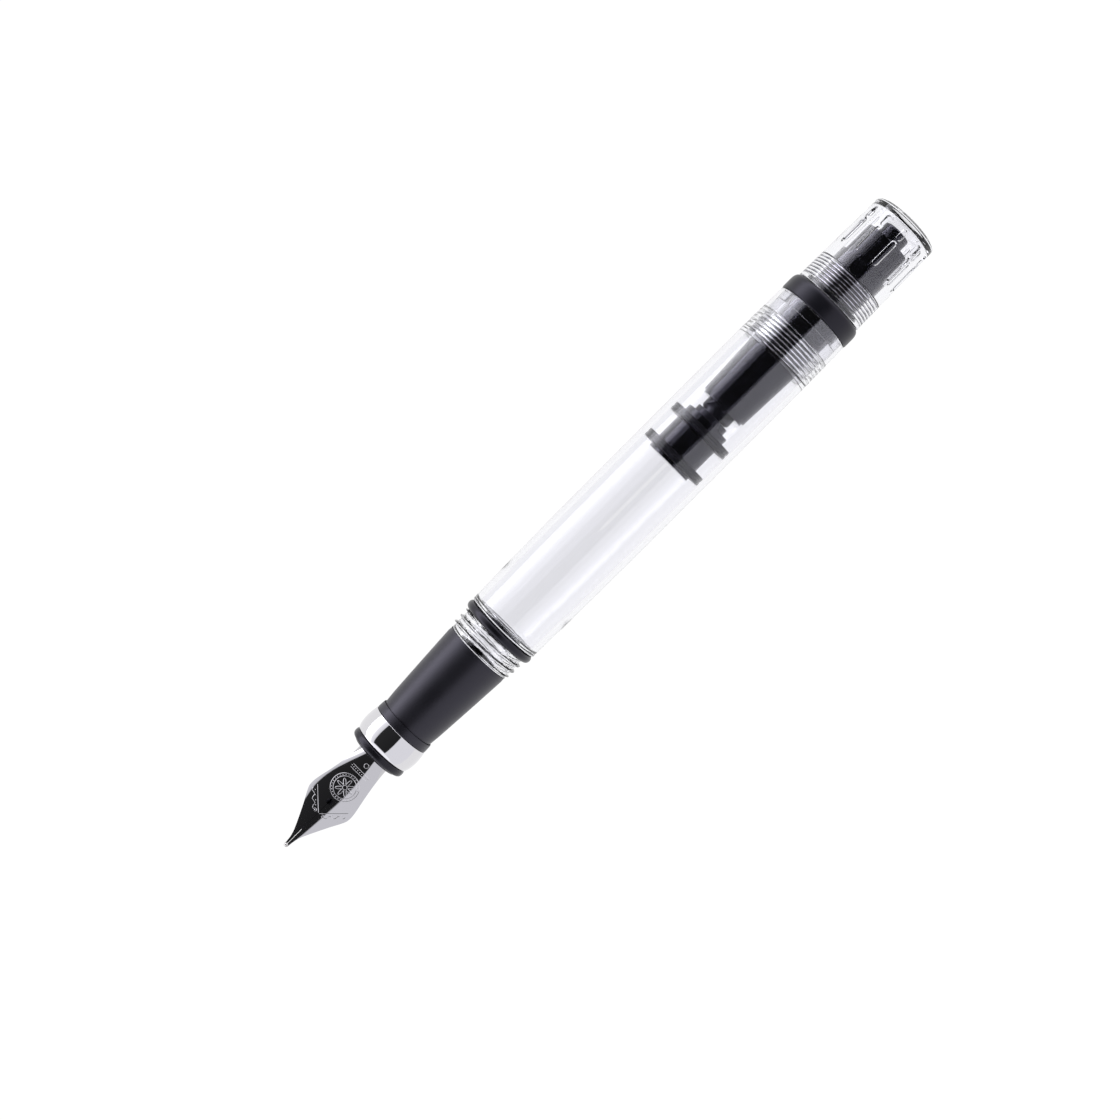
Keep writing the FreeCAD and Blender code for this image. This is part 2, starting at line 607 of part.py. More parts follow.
# ---- knob: a clear thimble with grip flutes, and the ring that keeps it from turning by itself ----
def knob():
    front = KNOB_Z
    rim_z = TAIL_Z - KNOB_DOME
    recess_r = KNOB_BORE_R + 2 * FRICTION_RING_WIRE_R + 0.04
    bevel = 0.28
    cavity_end = TAIL_Z - KNOB_END_WALL
    rim_r = KNOB_REAR_R - bevel
    dome_r = (rim_r**2 + KNOB_DOME**2) / (2 * KNOB_DOME)
    mid_r = 0.6 * rim_r
    mid_z = TAIL_Z - dome_r + math.sqrt(dome_r**2 - mid_r**2)
    crown = Part.Arc(rz(rim_r, rim_z), rz(mid_r, mid_z), rz(0, TAIL_Z)).toShape()
    corners = [
        rz(0, TAIL_Z),
        rz(0, cavity_end),
        rz(KNOB_BORE_R, cavity_end),
        rz(KNOB_BORE_R, front + FRICTION_RECESS),
        rz(recess_r, front + FRICTION_RECESS),
        rz(recess_r, front),
        rz(KNOB_FRONT_R - 0.2, front),
        rz(KNOB_FRONT_R, front + 0.2),
        rz(KNOB_REAR_R, rim_z - bevel),
        rz(rim_r, rim_z),
    ]
    edges = [line(a, b) for a, b in zip(corners, corners[1:])] + [crown]
    body = Part.Face(Part.Wire(edges)).revolve(Vector(), Vector(0, 0, 1), 360)
    lean = math.degrees(math.atan((KNOB_FRONT_R - KNOB_REAR_R) / KNOB_LEN))
    spans = [(FLUTE_START, FLUTE_LEN), (FLUTE_START + FLUTE_LEN + FLUTE_BREAK, SHORT_FLUTE_LEN)]
    cutters = []
    for n in range(FLUTES):
        for start, length in spans:
            z = front + start
            wall_r = KNOB_FRONT_R - (KNOB_FRONT_R - KNOB_REAR_R) * start / KNOB_LEN
            cutter = flute(wall_r - FLUTE_DEPTH, z, length)
            cutter.rotate(Vector(wall_r, 0, z), Vector(0, 1, 0), -lean)
            cutter.rotate(Vector(), Vector(0, 0, 1), 90 + 360.0 * n / FLUTES)
            cutters.append(cutter)
    add("knob", body.cut(cutters))
    add("friction_ring", ring(FRICTION_RING_WIRE_R, recess_r - SEAT_GAP, front + FRICTION_RECESS / 2))


def flute(floor_r, z, length):
    """A cutter for one straight flute with round ends, its floor at floor_r on the +X side."""
    half = FLUTE_WIDTH / 2
    low, high = z + half, z + length - half
    tall = 2.0
    bar = Part.makeBox(tall, FLUTE_WIDTH, high - low, Vector(floor_r, -half, low))
    ends = [Part.makeCylinder(half, tall, Vector(floor_r, 0, end), Vector(1, 0, 0)) for end in (low, high)]
    return bar.fuse(ends)


def place(shape):
    """Lays the pen down: its axis along +X, the nib's top up, the origin on the table under its middle."""
    laid = shape.copy()
    laid.rotate(Vector(), Vector(1, 1, 1), 120)
    laid.translate(Vector(-TAIL_Z / 2, 0, BARREL_R))
    return laid


def main():
    for make in (barrel, grip, nib_housing, nib, feed, piston, sleeve_and_bushing, drive_tube, knob):
        make()
    os.makedirs("parts", exist_ok=True)
    for name, shape in SOLIDS.items():
        laid = place(shape)
        state = "ok" if laid.isValid() else "INVALID"
        print(f"{name:18s} solids {len(laid.Solids)}  volume {laid.Volume:9.3f} mm3  {state}")
        laid.exportStep(f"parts/{name}.step")
    print(f"length {TAIL_Z:.2f} mm, widest radius {BARREL_R:.2f} mm")
    print(f"knob turns {TURNS:.3f} ({360 * TURNS:.0f} degrees), backs out {TURNS * KNOB_PITCH:.3f} mm")
    print(f"piston travel {PISTON_TRAVEL:.3f} mm, bore steps at {BORE_STEP_Z:.2f} mm")


main()
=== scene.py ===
import json
import math

import bmesh
import bpy
from mathutils import Matrix, Vector


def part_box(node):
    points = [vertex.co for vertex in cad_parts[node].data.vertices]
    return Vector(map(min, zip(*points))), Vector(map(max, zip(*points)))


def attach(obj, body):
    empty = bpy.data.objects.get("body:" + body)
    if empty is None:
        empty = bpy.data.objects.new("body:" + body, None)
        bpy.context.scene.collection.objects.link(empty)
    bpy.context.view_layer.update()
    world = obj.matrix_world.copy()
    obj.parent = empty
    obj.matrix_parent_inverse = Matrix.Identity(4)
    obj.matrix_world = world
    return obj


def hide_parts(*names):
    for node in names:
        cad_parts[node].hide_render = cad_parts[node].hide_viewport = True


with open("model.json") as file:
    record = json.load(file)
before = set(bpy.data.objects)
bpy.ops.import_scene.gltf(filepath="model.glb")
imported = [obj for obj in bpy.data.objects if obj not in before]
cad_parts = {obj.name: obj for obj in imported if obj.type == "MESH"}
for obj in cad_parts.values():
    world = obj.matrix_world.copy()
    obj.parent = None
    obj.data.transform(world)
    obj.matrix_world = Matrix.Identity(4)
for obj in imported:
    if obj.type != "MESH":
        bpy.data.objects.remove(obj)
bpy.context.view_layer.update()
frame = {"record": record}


# ---- Barrel ----
# One clear acrylic moulding, polished inside and out: ink chamber, cap thread and the hidden neck
# for the grip. Its rear bore has a fine thread that takes the clear bushing.

MM = 0.001
BODY = frame["record"]["mounts"][0]
assert BODY["name"] == "barrel_body"
AXIS_Z = BODY["pos_m"][2]
TAIL_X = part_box("knob")[1].x
PEN_LENGTH = 123.0
TIP_X = TAIL_X - PEN_LENGTH * MM


def place(x, y, z):
    """A point x mm from the nib's tip, and y and z mm from the pen's axis."""
    return Vector((TIP_X + x * MM, y * MM, AXIS_Z + z * MM))


def span(node):
    """Where a CAD node starts and ends, in mm from the nib's tip, and its radius."""
    low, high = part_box(node)
    return (low.x - TIP_X) / MM, (high.x - TIP_X) / MM, (high.y - low.y) / 2 / MM


def softened(corners, steps=5):
    """An outline of (x, r) points, in which each corner (x, r, bevel) is a small arc."""
    outline = []
    for i, (x, r, bevel) in enumerate(corners):
        here = Vector((x, r))
        if not bevel:
            outline.append(here)
            continue
        before = Vector(corners[i - 1][:2]) - here
        after = Vector(corners[(i + 1) % len(corners)][:2]) - here
        start = here + before.normalized() * min(bevel, 0.45 * before.length)
        end = here + after.normalized() * min(bevel, 0.45 * after.length)
        for k in range(steps + 1):
            t = k / steps
            outline.append(start.lerp(here, t).lerp(here.lerp(end, t), t))
    return outline


def divided(outline, threads):
    """The outline with short steps where a thread is cut, and with a point close to each end of a
    long run, which keeps the smooth shading of the run true."""
    guard, longest = 0.05, 2.0
    closed = outline[0][1] > 0
    points = []
    for i, a in enumerate(outline):
        points.append(a)
        if i == len(outline) - 1 and not closed:
            break
        b = outline[(i + 1) % len(outline)]
        run = b - a
        if run.length < 4 * guard:
            continue
        middle = (a.x + b.x) / 2
        threaded = [step for start, end, step in threads if start <= middle <= end]
        step = threaded[0] if threaded and abs(run.x) > abs(run.y) else longest
        count = max(1, math.ceil(run.length / step))
        shares = {guard / run.length, 1 - guard / run.length}
        shares |= {k / count for k in range(1, count)}
        points += [a + run * t for t in sorted(shares)]
    return points


def shaded(mesh):
    """Smooth shading, broken only at real edges."""
    mesh.polygons.foreach_set("use_smooth", [True] * len(mesh.polygons))
    mesh.set_sharp_from_angle(angle=math.radians(34))


def made(name, bm):
    """A Blender object from mesh code, with its faces pointing outwards."""
    bmesh.ops.recalc_face_normals(bm, faces=bm.faces)
    mesh = bpy.data.meshes.new(name)
    bm.to_mesh(mesh)
    bm.free()
    shaded(mesh)
    piece = bpy.data.objects.new(name, mesh)
    bpy.context.scene.collection.objects.link(piece)
    return piece


def turned(name, outline, material=None, sides=144, threads=()):
    """A piece turned about the pen's axis. Its outline runs from axis to axis, or closes on itself."""
    bm = bmesh.new()
    closed = outline[0][1] > 0
    rings = []
    for x, r in divided(outline, threads):
        around = sides if r > 0 else 1
        angles = [math.tau * k / sides for k in range(around)]
        rings.append([bm.verts.new(place(x, r * math.sin(a), r * math.cos(a))) for a in angles])
    for a, b in zip(rings, rings[1:] + (rings[:1] if closed else [])):
        for k in range(sides):
            n = (k + 1) % sides
            corners = [a[k % len(a)], a[n % len(a)], b[n % len(b)], b[k % len(b)]]
            bm.faces.new(list(dict.fromkeys(corners)))
    piece = made(name, bm)
    if material:
        piece.data.materials.append(material)
    return piece


def wire(tree, kind, links=None, **settings):
    """Adds a node with its settings. Each input gets a value, or is linked to another node's output."""
    node = tree.nodes.new(kind)
    for key, value in settings.items():
        setattr(node, key, value)
    for key, value in (links or {}).items():
        if isinstance(value, bpy.types.NodeSocket):
            tree.links.new(value, node.inputs[key])
        else:
            node.inputs[key].default_value = value
    return node


def linear(code):
    """The linear colour of an sRGB hex code."""
    parts = [int(code[i : i + 2], 16) / 255 for i in (1, 3, 5)]
    return [c / 12.92 if c <= 0.04045 else ((c + 0.055) / 1.055) ** 2.4 for c in parts] + [1.0]


def blank_material(name, looks):
    """A material with a Principled shader of the given looks on its output."""
    material = bpy.data.materials.new(name)
    material.use_nodes = True
    material.node_tree.nodes.clear()
    tree = material.node_tree
    shader = wire(tree, "ShaderNodeBsdfPrincipled", looks)
    wire(tree, "ShaderNodeOutputMaterial", {"Surface": shader.outputs[0]})
    return material, tree, shader


def noise(tree, size_mm, detail, where=None):
    """A noise in patches of the given size, which sticks to the piece."""
    where = where or wire(tree, "ShaderNodeTexCoord").outputs["Object"]
    links = {"Vector": where, "Scale": 1 / (size_mm * MM), "Detail": detail}
    return wire(tree, "ShaderNodeTexNoise", links).outputs["Fac"]


def dull(tree, shader, value, least, most, low=0.0, high=1.0):
    """Roughness that goes from least to most while a texture goes from low to high."""
    links = {"Value": value, "From Min": low, "From Max": high, "To Min": least, "To Max": most}
    tree.links.new(wire(tree, "ShaderNodeMapRange", links).outputs[0], shader.inputs["Roughness"])


def emboss(tree, shader, height, strength, relief_mm):
    """Small relief that follows a texture."""
    links = {"Height": height, "Strength": strength, "Distance": relief_mm * MM}
    tree.links.new(wire(tree, "ShaderNodeBump", links).outputs[0], shader.inputs["Normal"])


def clear_acrylic(name, tint):
    """Polished PMMA: clear as glass but a little warmer to the light, with the faint long waves of a
    moulding and fine handling marks that only dull its gloss here and there."""
    wave_mm, mark_mm = 9.0, 0.35
    looks = {"Base Color": linear(tint), "Transmission Weight": 1.0, "IOR": 1.491}
    material, tree, shader = blank_material(name, looks)
    marks = noise(tree, mark_mm, 3.0)
    dull(tree, shader, marks, 0.0, 0.03, 0.55, 0.8)
    waves = noise(tree, wave_mm, 0.0)
    emboss(tree, shader, waves, 0.25, 0.03)
    return material


def silvered_acrylic(name, tint):
    """The cut flanks of an acrylic thread or flute. Light inside the acrylic is totally reflected by
    them, so they look silvered, with the soft blur of fine tool marks."""
    mark_mm = 0.06
    material, tree, shader = blank_material(name, {"Base Color": linear(tint), "Metallic": 1.0})
    marks = noise(tree, mark_mm, 2.0)
    dull(tree, shader, marks, 0.22, 0.27)
    emboss(tree, shader, marks, 0.3, 0.003)
    return material


def maths(tree, operation, *values):
    """What one math node gives for values or other nodes' outputs."""
    return wire(tree, "ShaderNodeMath", dict(enumerate(values)), operation=operation).outputs[0]


def node_group(name, inputs):
    """A geometry tree that takes and gives geometry. Its further inputs are given as name: kind."""
    tree = bpy.data.node_groups.new(name, "GeometryNodeTree")
    for title, kind in {"Geometry": "Geometry", **inputs}.items():
        tree.interface.new_socket(title, in_out="INPUT", socket_type="NodeSocket" + kind)
    tree.interface.new_socket("Geometry", in_out="OUTPUT", socket_type="NodeSocketGeometry")
    return tree, wire(tree, "NodeGroupInput").outputs


def thread_tree():
    """Geometry nodes that raise a right-handed screw thread on a turned piece."""
    sizes = ("Start", "End", "Least radius", "Most radius", "Pitch", "Depth", "Starts", "Crest", "Phase")
    inputs = {name: "Float" for name in sizes} | {"Material": "Material", "Ridge material": "Material"}
    tree, given = node_group("screw_thread", inputs)
    position = wire(tree, "GeometryNodeInputPosition").outputs[0]
    here = wire(tree, "ShaderNodeSeparateXYZ", {0: position}).outputs
    up = maths(tree, "SUBTRACT", here["Z"], AXIS_Z)
    out = wire(tree, "ShaderNodeCombineXYZ", {"Y": here["Y"], "Z": up}).outputs[0]
    radius = wire(tree, "ShaderNodeVectorMath", {0: out}, operation="LENGTH").outputs["Value"]
    angle = maths(tree, "ARCTAN2", up, here["Y"])
    turn = maths(tree, "DIVIDE", angle, math.tau)
    turn = maths(tree, "MULTIPLY", turn, given["Starts"])
    travel = maths(tree, "DIVIDE", here["X"], given["Pitch"])
    phase = maths(tree, "SUBTRACT", travel, turn)
    phase = maths(tree, "SUBTRACT", phase, given["Phase"])
    phase = maths(tree, "MULTIPLY", phase, math.tau)
    wave = maths(tree, "COSINE", phase)
    flank, ridge_share = 0.45, 0.35
    foot = maths(tree, "SUBTRACT", given["Crest"], flank)
    head = maths(tree, "ADD", given["Crest"], flank)
    ridge = wire(
        tree,
        "ShaderNodeMapRange",
        {"Value": wave, "From Min": foot, "From Max": head},
        interpolation_type="SMOOTHSTEP",
    ).outputs[0]
    run_out = 0.3 * MM
    after = maths(tree, "ADD", given["Start"], run_out)
    before = maths(tree, "SUBTRACT", given["End"], run_out)
    ramps = [
        {"Value": here["X"], "From Min": given["Start"], "From Max": after},
        {"Value": here["X"], "From Min": given["End"], "From Max": before},
    ]
    for ramp in ramps:
        fade = wire(tree, "ShaderNodeMapRange", ramp, interpolation_type="SMOOTHSTEP").outputs[0]
        ridge = maths(tree, "MULTIPLY", ridge, fade)
    height = maths(tree, "MULTIPLY", ridge, given["Depth"])
    outward = wire(tree, "ShaderNodeVectorMath", {0: out}, operation="NORMALIZE").outputs[0]
    offset = wire(tree, "ShaderNodeVectorMath", {0: outward, 3: height}, operation="SCALE").outputs[0]
    over = maths(tree, "GREATER_THAN", radius, given["Least radius"])
    under = maths(tree, "LESS_THAN", radius, given["Most radius"])
    on_wall = maths(tree, "MULTIPLY", over, under)
    on_ridge = maths(tree, "MULTIPLY", ridge, on_wall)
    kept = wire(tree, "GeometryNodeCaptureAttribute", domain="FACE")
    kept.capture_items.new("FLOAT", "Ridge")
    tree.links.new(given["Geometry"], kept.inputs[0])
    tree.links.new(on_ridge, kept.inputs[1])
    links = {"Geometry": kept.outputs[0], "Selection": on_wall, "Offset": offset}
    moved = wire(tree, "GeometryNodeSetPosition", links)
    real = wire(tree, "GeometryNodeRealizeInstances", {"Geometry": moved.outputs[0]})
    links = {"Geometry": real.outputs[0], "Material": given["Material"]}
    coated = wire(tree, "GeometryNodeSetMaterial", links)
    high = maths(tree, "GREATER_THAN", kept.outputs[1], ridge_share)
    links = {"Geometry": coated.outputs[0], "Selection": high, "Material": given["Ridge material"]}
    wire(tree, "NodeGroupOutput", {0: wire(tree, "GeometryNodeSetMaterial", links).outputs[0]})
    return tree


def finish_tree(tree, geometry, material):
    """Ends a node tree in Realize Instances and Set Material."""
    real = wire(tree, "GeometryNodeRealizeInstances", {"Geometry": geometry})
    coated = wire(tree, "GeometryNodeSetMaterial", {"Geometry": real.outputs[0], "Material": material})
    wire(tree, "NodeGroupOutput", {0: coated.outputs[0]})


def settle(piece, modifier):
    """Makes what the piece's modifiers give its plain mesh, and takes the modifier off."""
    graph = bpy.context.evaluated_depsgraph_get()
    mesh = bpy.data.meshes.new_from_object(piece.evaluated_get(graph), depsgraph=graph)
    piece.modifiers.remove(modifier)
    old, piece.data = piece.data, mesh
    mesh.name = old.name
    bpy.data.meshes.remove(old)
    shaded(mesh)


def worked(piece, tree, inputs):
    """The piece with a node tree's result as its plain mesh, and no modifier left on it."""
    modifier = piece.modifiers.new(tree.name, "NODES")
    modifier.node_group = tree
    for item in tree.interface.items_tree:
        if item.in_out == "INPUT" and item.name in inputs:
            modifier[item.identifier] = inputs[item.name]
    settle(piece, modifier)
    return piece


SCREW_THREAD = thread_tree()


def threaded(
    piece, material, start, end, least, most, pitch, depth, starts=1, crest=0.3, phase=0.0, ridge=None
):
    """Cuts a thread on the wall between two radii. Sizes are in mm, start and end from the nib's tip.
    Its ridges may have a material of their own."""
    inputs = {
        "Start": place(start, 0, 0).x,
        "End": place(end, 0, 0).x,
        "Least radius": least * MM,
        "Most radius": most * MM,
        "Pitch": pitch * MM,
        "Depth": depth * MM,
        "Starts": float(starts),
        "Crest": crest,
        "Phase": phase,
        "Material": material,
        "Ridge material": ridge or material,
    }
    return worked(piece, SCREW_THREAD, inputs)


def fit(piece, body, node):
    """The piece rides on its body and stands for its CAD node."""
    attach(piece, body)
    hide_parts(node)


def arc_through(a, b, rise, steps):
    """Points from a to b whose middle stands off the straight line by rise."""
    points = []
    for k in range(1, steps):
        t = k / steps
        p = a.lerp(b, t)
        points.append(Vector((p.x, p.y + 4 * rise * t * (1 - t))))
    return points


ACRYLIC = clear_acrylic("clear_cast_acrylic", "#F5F5F8")
CUT_ACRYLIC = silvered_acrylic("machined_acrylic_flank", "#E4E3EC")
barrel_front, barrel_rear, barrel_r = span("barrel")
grip_end = span("grip_sleeve")[1]
groove_front, groove_rear, ring_r = span("shoulder_ring")
groove_front, groove_rear = groove_front - 0.03, groove_rear + 0.02
bushing_front, _, bushing_r = span("threaded_bushing")
bushing_front -= 0.05
neck_r, neck_bore_r, chamber_r, front_chamber_r, chamber_step = 3.95, 3.30, 5.13, 4.95, 50.8
cap_root_r, cap_crest_r, cap_pitch = 5.08, 5.50, 1.10
shoulder_r, rear_r, swell, straight = 5.83, 5.95, 21.5, 30.0
bore_minor_r, bore_major_r = bushing_r - 0.19, bushing_r + 0.02
bore_thread = (bushing_front + 0.4, bushing_front + 4.5)
ring_half = 0.69
seat_r = ring_r - 2 * ring_half - 0.02
chamber_front = groove_rear + 0.48
swell_start = Vector((groove_rear + 0.2, shoulder_r))
swell_end = Vector((groove_rear + swell, barrel_r))
front = softened(
    [
        (barrel_front, neck_bore_r, 0.1),
        (barrel_front, neck_r, 0.15),
        (grip_end, neck_r, 0.05),
        (grip_end, cap_root_r, 0.18),
        (groove_front, cap_root_r, 0.10),
        (groove_front, seat_r, 0.10),
        (groove_rear, seat_r, 0.10),
        (groove_rear, shoulder_r - 0.03, 0.2),
        (swell_start.x, swell_start.y, 0),
    ]
)
rear = softened(
    [
        (swell_end.x, swell_end.y, 0),
        (groove_rear + swell + straight, barrel_r, 1.5),
        (barrel_rear, rear_r, 0.22),
        (barrel_rear, bore_major_r, 0.12),
        (bore_thread[1] + 0.1, bore_major_r, 0.1),
        (bore_thread[1], bore_minor_r, 0.1),
        (bushing_front, bore_minor_r, 0.05),
        (bushing_front, chamber_r, 0.08),
        (chamber_step, chamber_r, 0.8),
        (chamber_step - 1.8, front_chamber_r, 0.8),
        (chamber_front, front_chamber_r, 0.45),
        (chamber_front, neck_bore_r, 0.15),
    ]
)
outline = front + arc_through(swell_start, swell_end, 0.06, 24) + rear
cap_thread = (grip_end + 0.25, groove_front - 0.02)
fine = [(*cap_thread, 0.06), (*bore_thread, 0.05)]
barrel = turned("barrel", outline, ACRYLIC, sides=180, threads=fine)
cap_depth = cap_crest_r - cap_root_r
threaded(barrel, ACRYLIC, *cap_thread, cap_root_r - 0.05, cap_root_r + 0.05, cap_pitch, cap_depth, crest=0.55)
bushing_pitch, bore_depth = 0.58, 0.12
bore_wall = (bore_minor_r - 0.03, bore_minor_r + 0.03)
threaded(barrel, ACRYLIC, *bore_thread, *bore_wall, bushing_pitch, bore_depth, crest=0.5)
fit(barrel, "barrel", "barrel")


# ---- Shoulder ring ----
# A black nitrile O-ring in a groove behind the cap's thread, where the cap stops against it.
# Moulded rubber with a satin skin; it is stretched over the thread and snaps in.


def nitrile(name, colour, roughness):
    """Moulded nitrile rubber: near black, satin, with a fine dusty grain that softens its shine."""
    grain_mm, dust_mm = 0.05, 1.2
    material, tree, shader = blank_material(name, {"IOR": 1.42, "Specular Tint": linear("#EEEAFF")})
    dust = noise(tree, dust_mm, 4.0)
    pale = [1.5 * c for c in linear(colour)[:3]] + [1.0]
    shades = {0: dust, 6: linear(colour), 7: pale}
    mixed = wire(tree, "ShaderNodeMix", shades, data_type="RGBA")
    tree.links.new(mixed.outputs[2], shader.inputs["Base Color"])
    dull(tree, shader, dust, roughness - 0.06, roughness + 0.06)
    grain = noise(tree, grain_mm, 1.0)
    emboss(tree, shader, grain, 0.25, 0.004)
    return material


def o_ring(node, flatness=2.0, sides=144):
    """A rubber ring as wide as its CAD node: round in section at flatness 2, and squarer above it."""
    start, end, outer = span(node)
    half, steps = (end - start) / 2, 40
    outline = []
    for k in range(steps):
        a = math.tau * k / steps
        c, s = math.cos(a), math.sin(a)
        across = math.copysign(abs(c) ** (2 / flatness), c)
        height = math.copysign(abs(s) ** (2 / flatness), s)
        outline.append(Vector(((start + end) / 2 + half * across, outer - half + half * height)))
    return turned(node, outline, RING_RUBBER, sides)


RING_RUBBER = nitrile("black_nitrile_rubber", "#0E0E11", 0.30)
shoulder_ring = o_ring("shoulder_ring", 2.15)
fit(shoulder_ring, "barrel", "shoulder_ring")


# ---- Grip sleeve ----
# The part that the fingers hold: a black moulded sleeve pushed over the barrel's neck, waisted, with
# a short flared lip at the front. A spark-eroded mould gives it a soft, even, matte skin.


def moulded_plastic(name, colour, roughness, grain_mm, relief_mm):
    """Black moulded plastic. Flow in the mould leaves slow changes of gloss, and the mould's own
    texture a fine grain whose size is given in mm."""
    flow_mm = 4.0
    looks = {"Base Color": linear(colour), "IOR": 1.58, "Specular Tint": linear("#EEEAFF")}
    material, tree, shader = blank_material(name, looks)
    flow = noise(tree, flow_mm, 2.0)
    dull(tree, shader, flow, 0.85 * roughness, 1.15 * roughness)
    grain = noise(tree, grain_mm, 2.0)
    emboss(tree, shader, grain, 0.4, relief_mm)
    return material


GRIP_PLASTIC = moulded_plastic("matte_black_abs", "#09090D", 0.40, 0.12, 0.003)
start, end, rear_r = span("grip_sleeve")
bore_r = neck_r + 0.03
lip, waist_r, front_r = 3.1, 4.47, 4.56
waist = Vector((start + lip, waist_r))
back = Vector((end - 0.1, rear_r))
corners = [(start, bore_r, 0.1), (start, front_r, 0.22), (start + 0.55 * lip, waist_r + 0.01, 0.8)]
outline = softened(corners) + [waist] + arc_through(waist, back, 0.015, 20)
outline += softened([(end, rear_r, 0.10), (end, bore_r, 0.1)])
grip = turned("grip_sleeve", outline, GRIP_PLASTIC)
fit(grip, "barrel", "grip_sleeve")


# ---- Trim ring ----
# A turned brass ring, polished and plated with bright chrome. It bulges a little and its edges are
# rounded over, so it mirrors the studio in bands.


def bright_metal(name, colour, roughness, brush_mm, stretch):
    """Polished metal: a near mirror with fine polishing lines round the piece, each a little duller."""
    material, tree, shader = blank_material(name, {"Metallic": 1.0, "Base Color": linear(colour)})
    where = wire(tree, "ShaderNodeTexCoord").outputs["Object"]
    drawn = wire(tree, "ShaderNodeMapping", {"Vector": where, "Scale": stretch}).outputs[0]
    lines = noise(tree, brush_mm, 2.0, drawn)
    dull(tree, shader, lines, 0.6 * roughness, 1.4 * roughness)
    emboss(tree, shader, lines, 0.15, 0.0008)
    return material


CHROME = bright_metal("bright_chrome_plate", "#D9D8DB", 0.045, 0.12, (1.0, 0.15, 0.15))
start, end, outer = span("trim_ring")
bore_r = 3.90
corners = [
    (start, bore_r, 0.1),
    (start, outer - 0.34, 0.20),
    (start + 0.75, outer - 0.08, 0.5),
    (start + 0.50 * (end - start), outer + 0.02, 1.0),
    (end - 0.85, outer - 0.06, 0.5),
    (end, front_r + 0.05, 0.10),
    (end, bore_r, 0.1),
]
trim = turned("trim_ring", softened(corners, 8), CHROME, sides=180)
fit(trim, "barrel", "trim_ring")


# ---- Nib housing, nose ring and housing seal ----
# The housing is the black core that the nib and feed are pushed into; it is screwed in from the
# front. One rubber ring seals the cap on its nose, and a thin one seals it in the barrel.

GLOSS_PLASTIC = moulded_plastic("gloss_black_polycarbonate", "#0C0C11", 0.09, 0.8, 0.002)
start, end, outer = span("nib_housing")
nose_end = span("nose_ring")[1]
nib_bore_r, tail_bore_r, tail_r, feed_shoulder = 2.59, 1.14, 3.26, 33.05
lip, lip_r, nose_wall_r = 0.16, 3.74, 3.26
corners = [
    (start, nib_bore_r, 0.12),
    (start, lip_r, 0.08),
    (start + lip, lip_r, 0.06),
    (start + lip, nose_wall_r, 0.06),
    (nose_end, nose_wall_r, 0.05),
    (nose_end, outer, 0.1),
    (barrel_front - 0.02, outer, 0.1),
    (barrel_front - 0.02, tail_r, 0.05),
    (end, tail_r, 0.4),
    (end, tail_bore_r, 0.1),
    (feed_shoulder, tail_bore_r, 0.05),
    (feed_shoulder, nib_bore_r, 0.05),
]
housing = turned("nib_housing", softened(corners, 3), GLOSS_PLASTIC)
fit(housing, "barrel", "nib_housing")

nose_ring = o_ring("nose_ring", 2.6)
fit(nose_ring, "barrel", "nose_ring")

housing_seal = o_ring("housing_seal", sides=96)
fit(housing_seal, "barrel", "housing_seal")


# ---- Nib ----
# Stainless steel sheet, 0.3 mm thick, blanked to a leaf shape, rolled and polished, slit from the
# breather hole to the tip. It is pushed into the housing together with the feed.


def smooth_curve(knots, x):
    """A smooth curve through (x, value) knots."""
    for i in range(len(knots) - 1):
        if x <= knots[i + 1][0] or i == len(knots) - 2:
            break
    (x1, y1), (x2, y2) = knots[i], knots[i + 1]
    x0, y0 = knots[i - 1] if i else (x1, y1)
    x3, y3 = knots[i + 2] if i + 2 < len(knots) else (x2, y2)
    t = (x - x1) / (x2 - x1)
    slope1 = (y2 - y0) / (x2 - x0) * (x2 - x1)
    slope2 = (y3 - y1) / (x3 - x1) * (x2 - x1)
    a = 2 * t**3 - 3 * t**2 + 1
    b = t**3 - 2 * t**2 + t
    c = -2 * t**3 + 3 * t**2
    d = t**3 - t**2
    return a * y1 + b * slope1 + c * y2 + d * slope2


NIB_STEEL = bright_metal("polished_stainless_steel", "#C4C3C6", 0.06, 0.05, (0.1, 1.0, 1.0))
nib_end = span("nib")[1]
nib_shoulder = span("nib")[2]
nib_r, sheet, slit, breather_r, breather_x = 2.55, 0.30, 0.05, 0.45, 9.35
half_widths = [
    (0.34, 0.30),
    (1.8, 0.48),
    (3.1, 0.90),
    (6.3, 2.39),
    (8.6, 0.962 * nib_shoulder),
    (9.5, nib_shoulder),
    (10.6, 0.968 * nib_shoulder),
    (13.0, 0.838 * nib_shoulder),
    (15.6, 2.68),
    (17.6, 2.52),
    (nib_end, 2.51),
]
crowns = [
    (0.34, 0.46),
    (3.0, 0.98),
    (6.0, 1.54),
    (9.4, 2.08),
    (13.6, 2.42),
    (17.4, nib_r),
    (nib_end, nib_r),
]
roll_radii = [
    (0.34, 3.0),
    (3.0, 6.4),
    (9.4, 9.0),
    (12.6, 8.6),
    (15.2, 6.4),
    (17.8, 3.2),
    (18.6, nib_r),
    (nib_end, nib_r),
]
edge_angles = [
    (0.34, 20.0),
    (3.0, 26.0),
    (6.3, 36.0),
    (9.4, 42.0),
    (12.6, 45.0),
    (15.2, 56.0),
    (17.8, 76.0),
    (nib_end, 80.0),
]


def nib_section(x):
    """The ellipse that the nib follows at x: its crown height, half-width and half-height, and the
    angle at which the sheet ends."""
    edge = math.radians(smooth_curve(edge_angles, x))
    half_width = smooth_curve(half_widths, x) / math.sin(edge)
    return smooth_curve(crowns, x), half_width, half_width**2 / smooth_curve(roll_radii, x), edge


def leaned(x, y, z):
    """The nib sits a few degrees askew in its housing, as pressed in by hand."""
    lean = math.radians(3.5)
    return place(x, y * math.cos(lean) - z * math.sin(lean), y * math.sin(lean) + z * math.cos(lean))


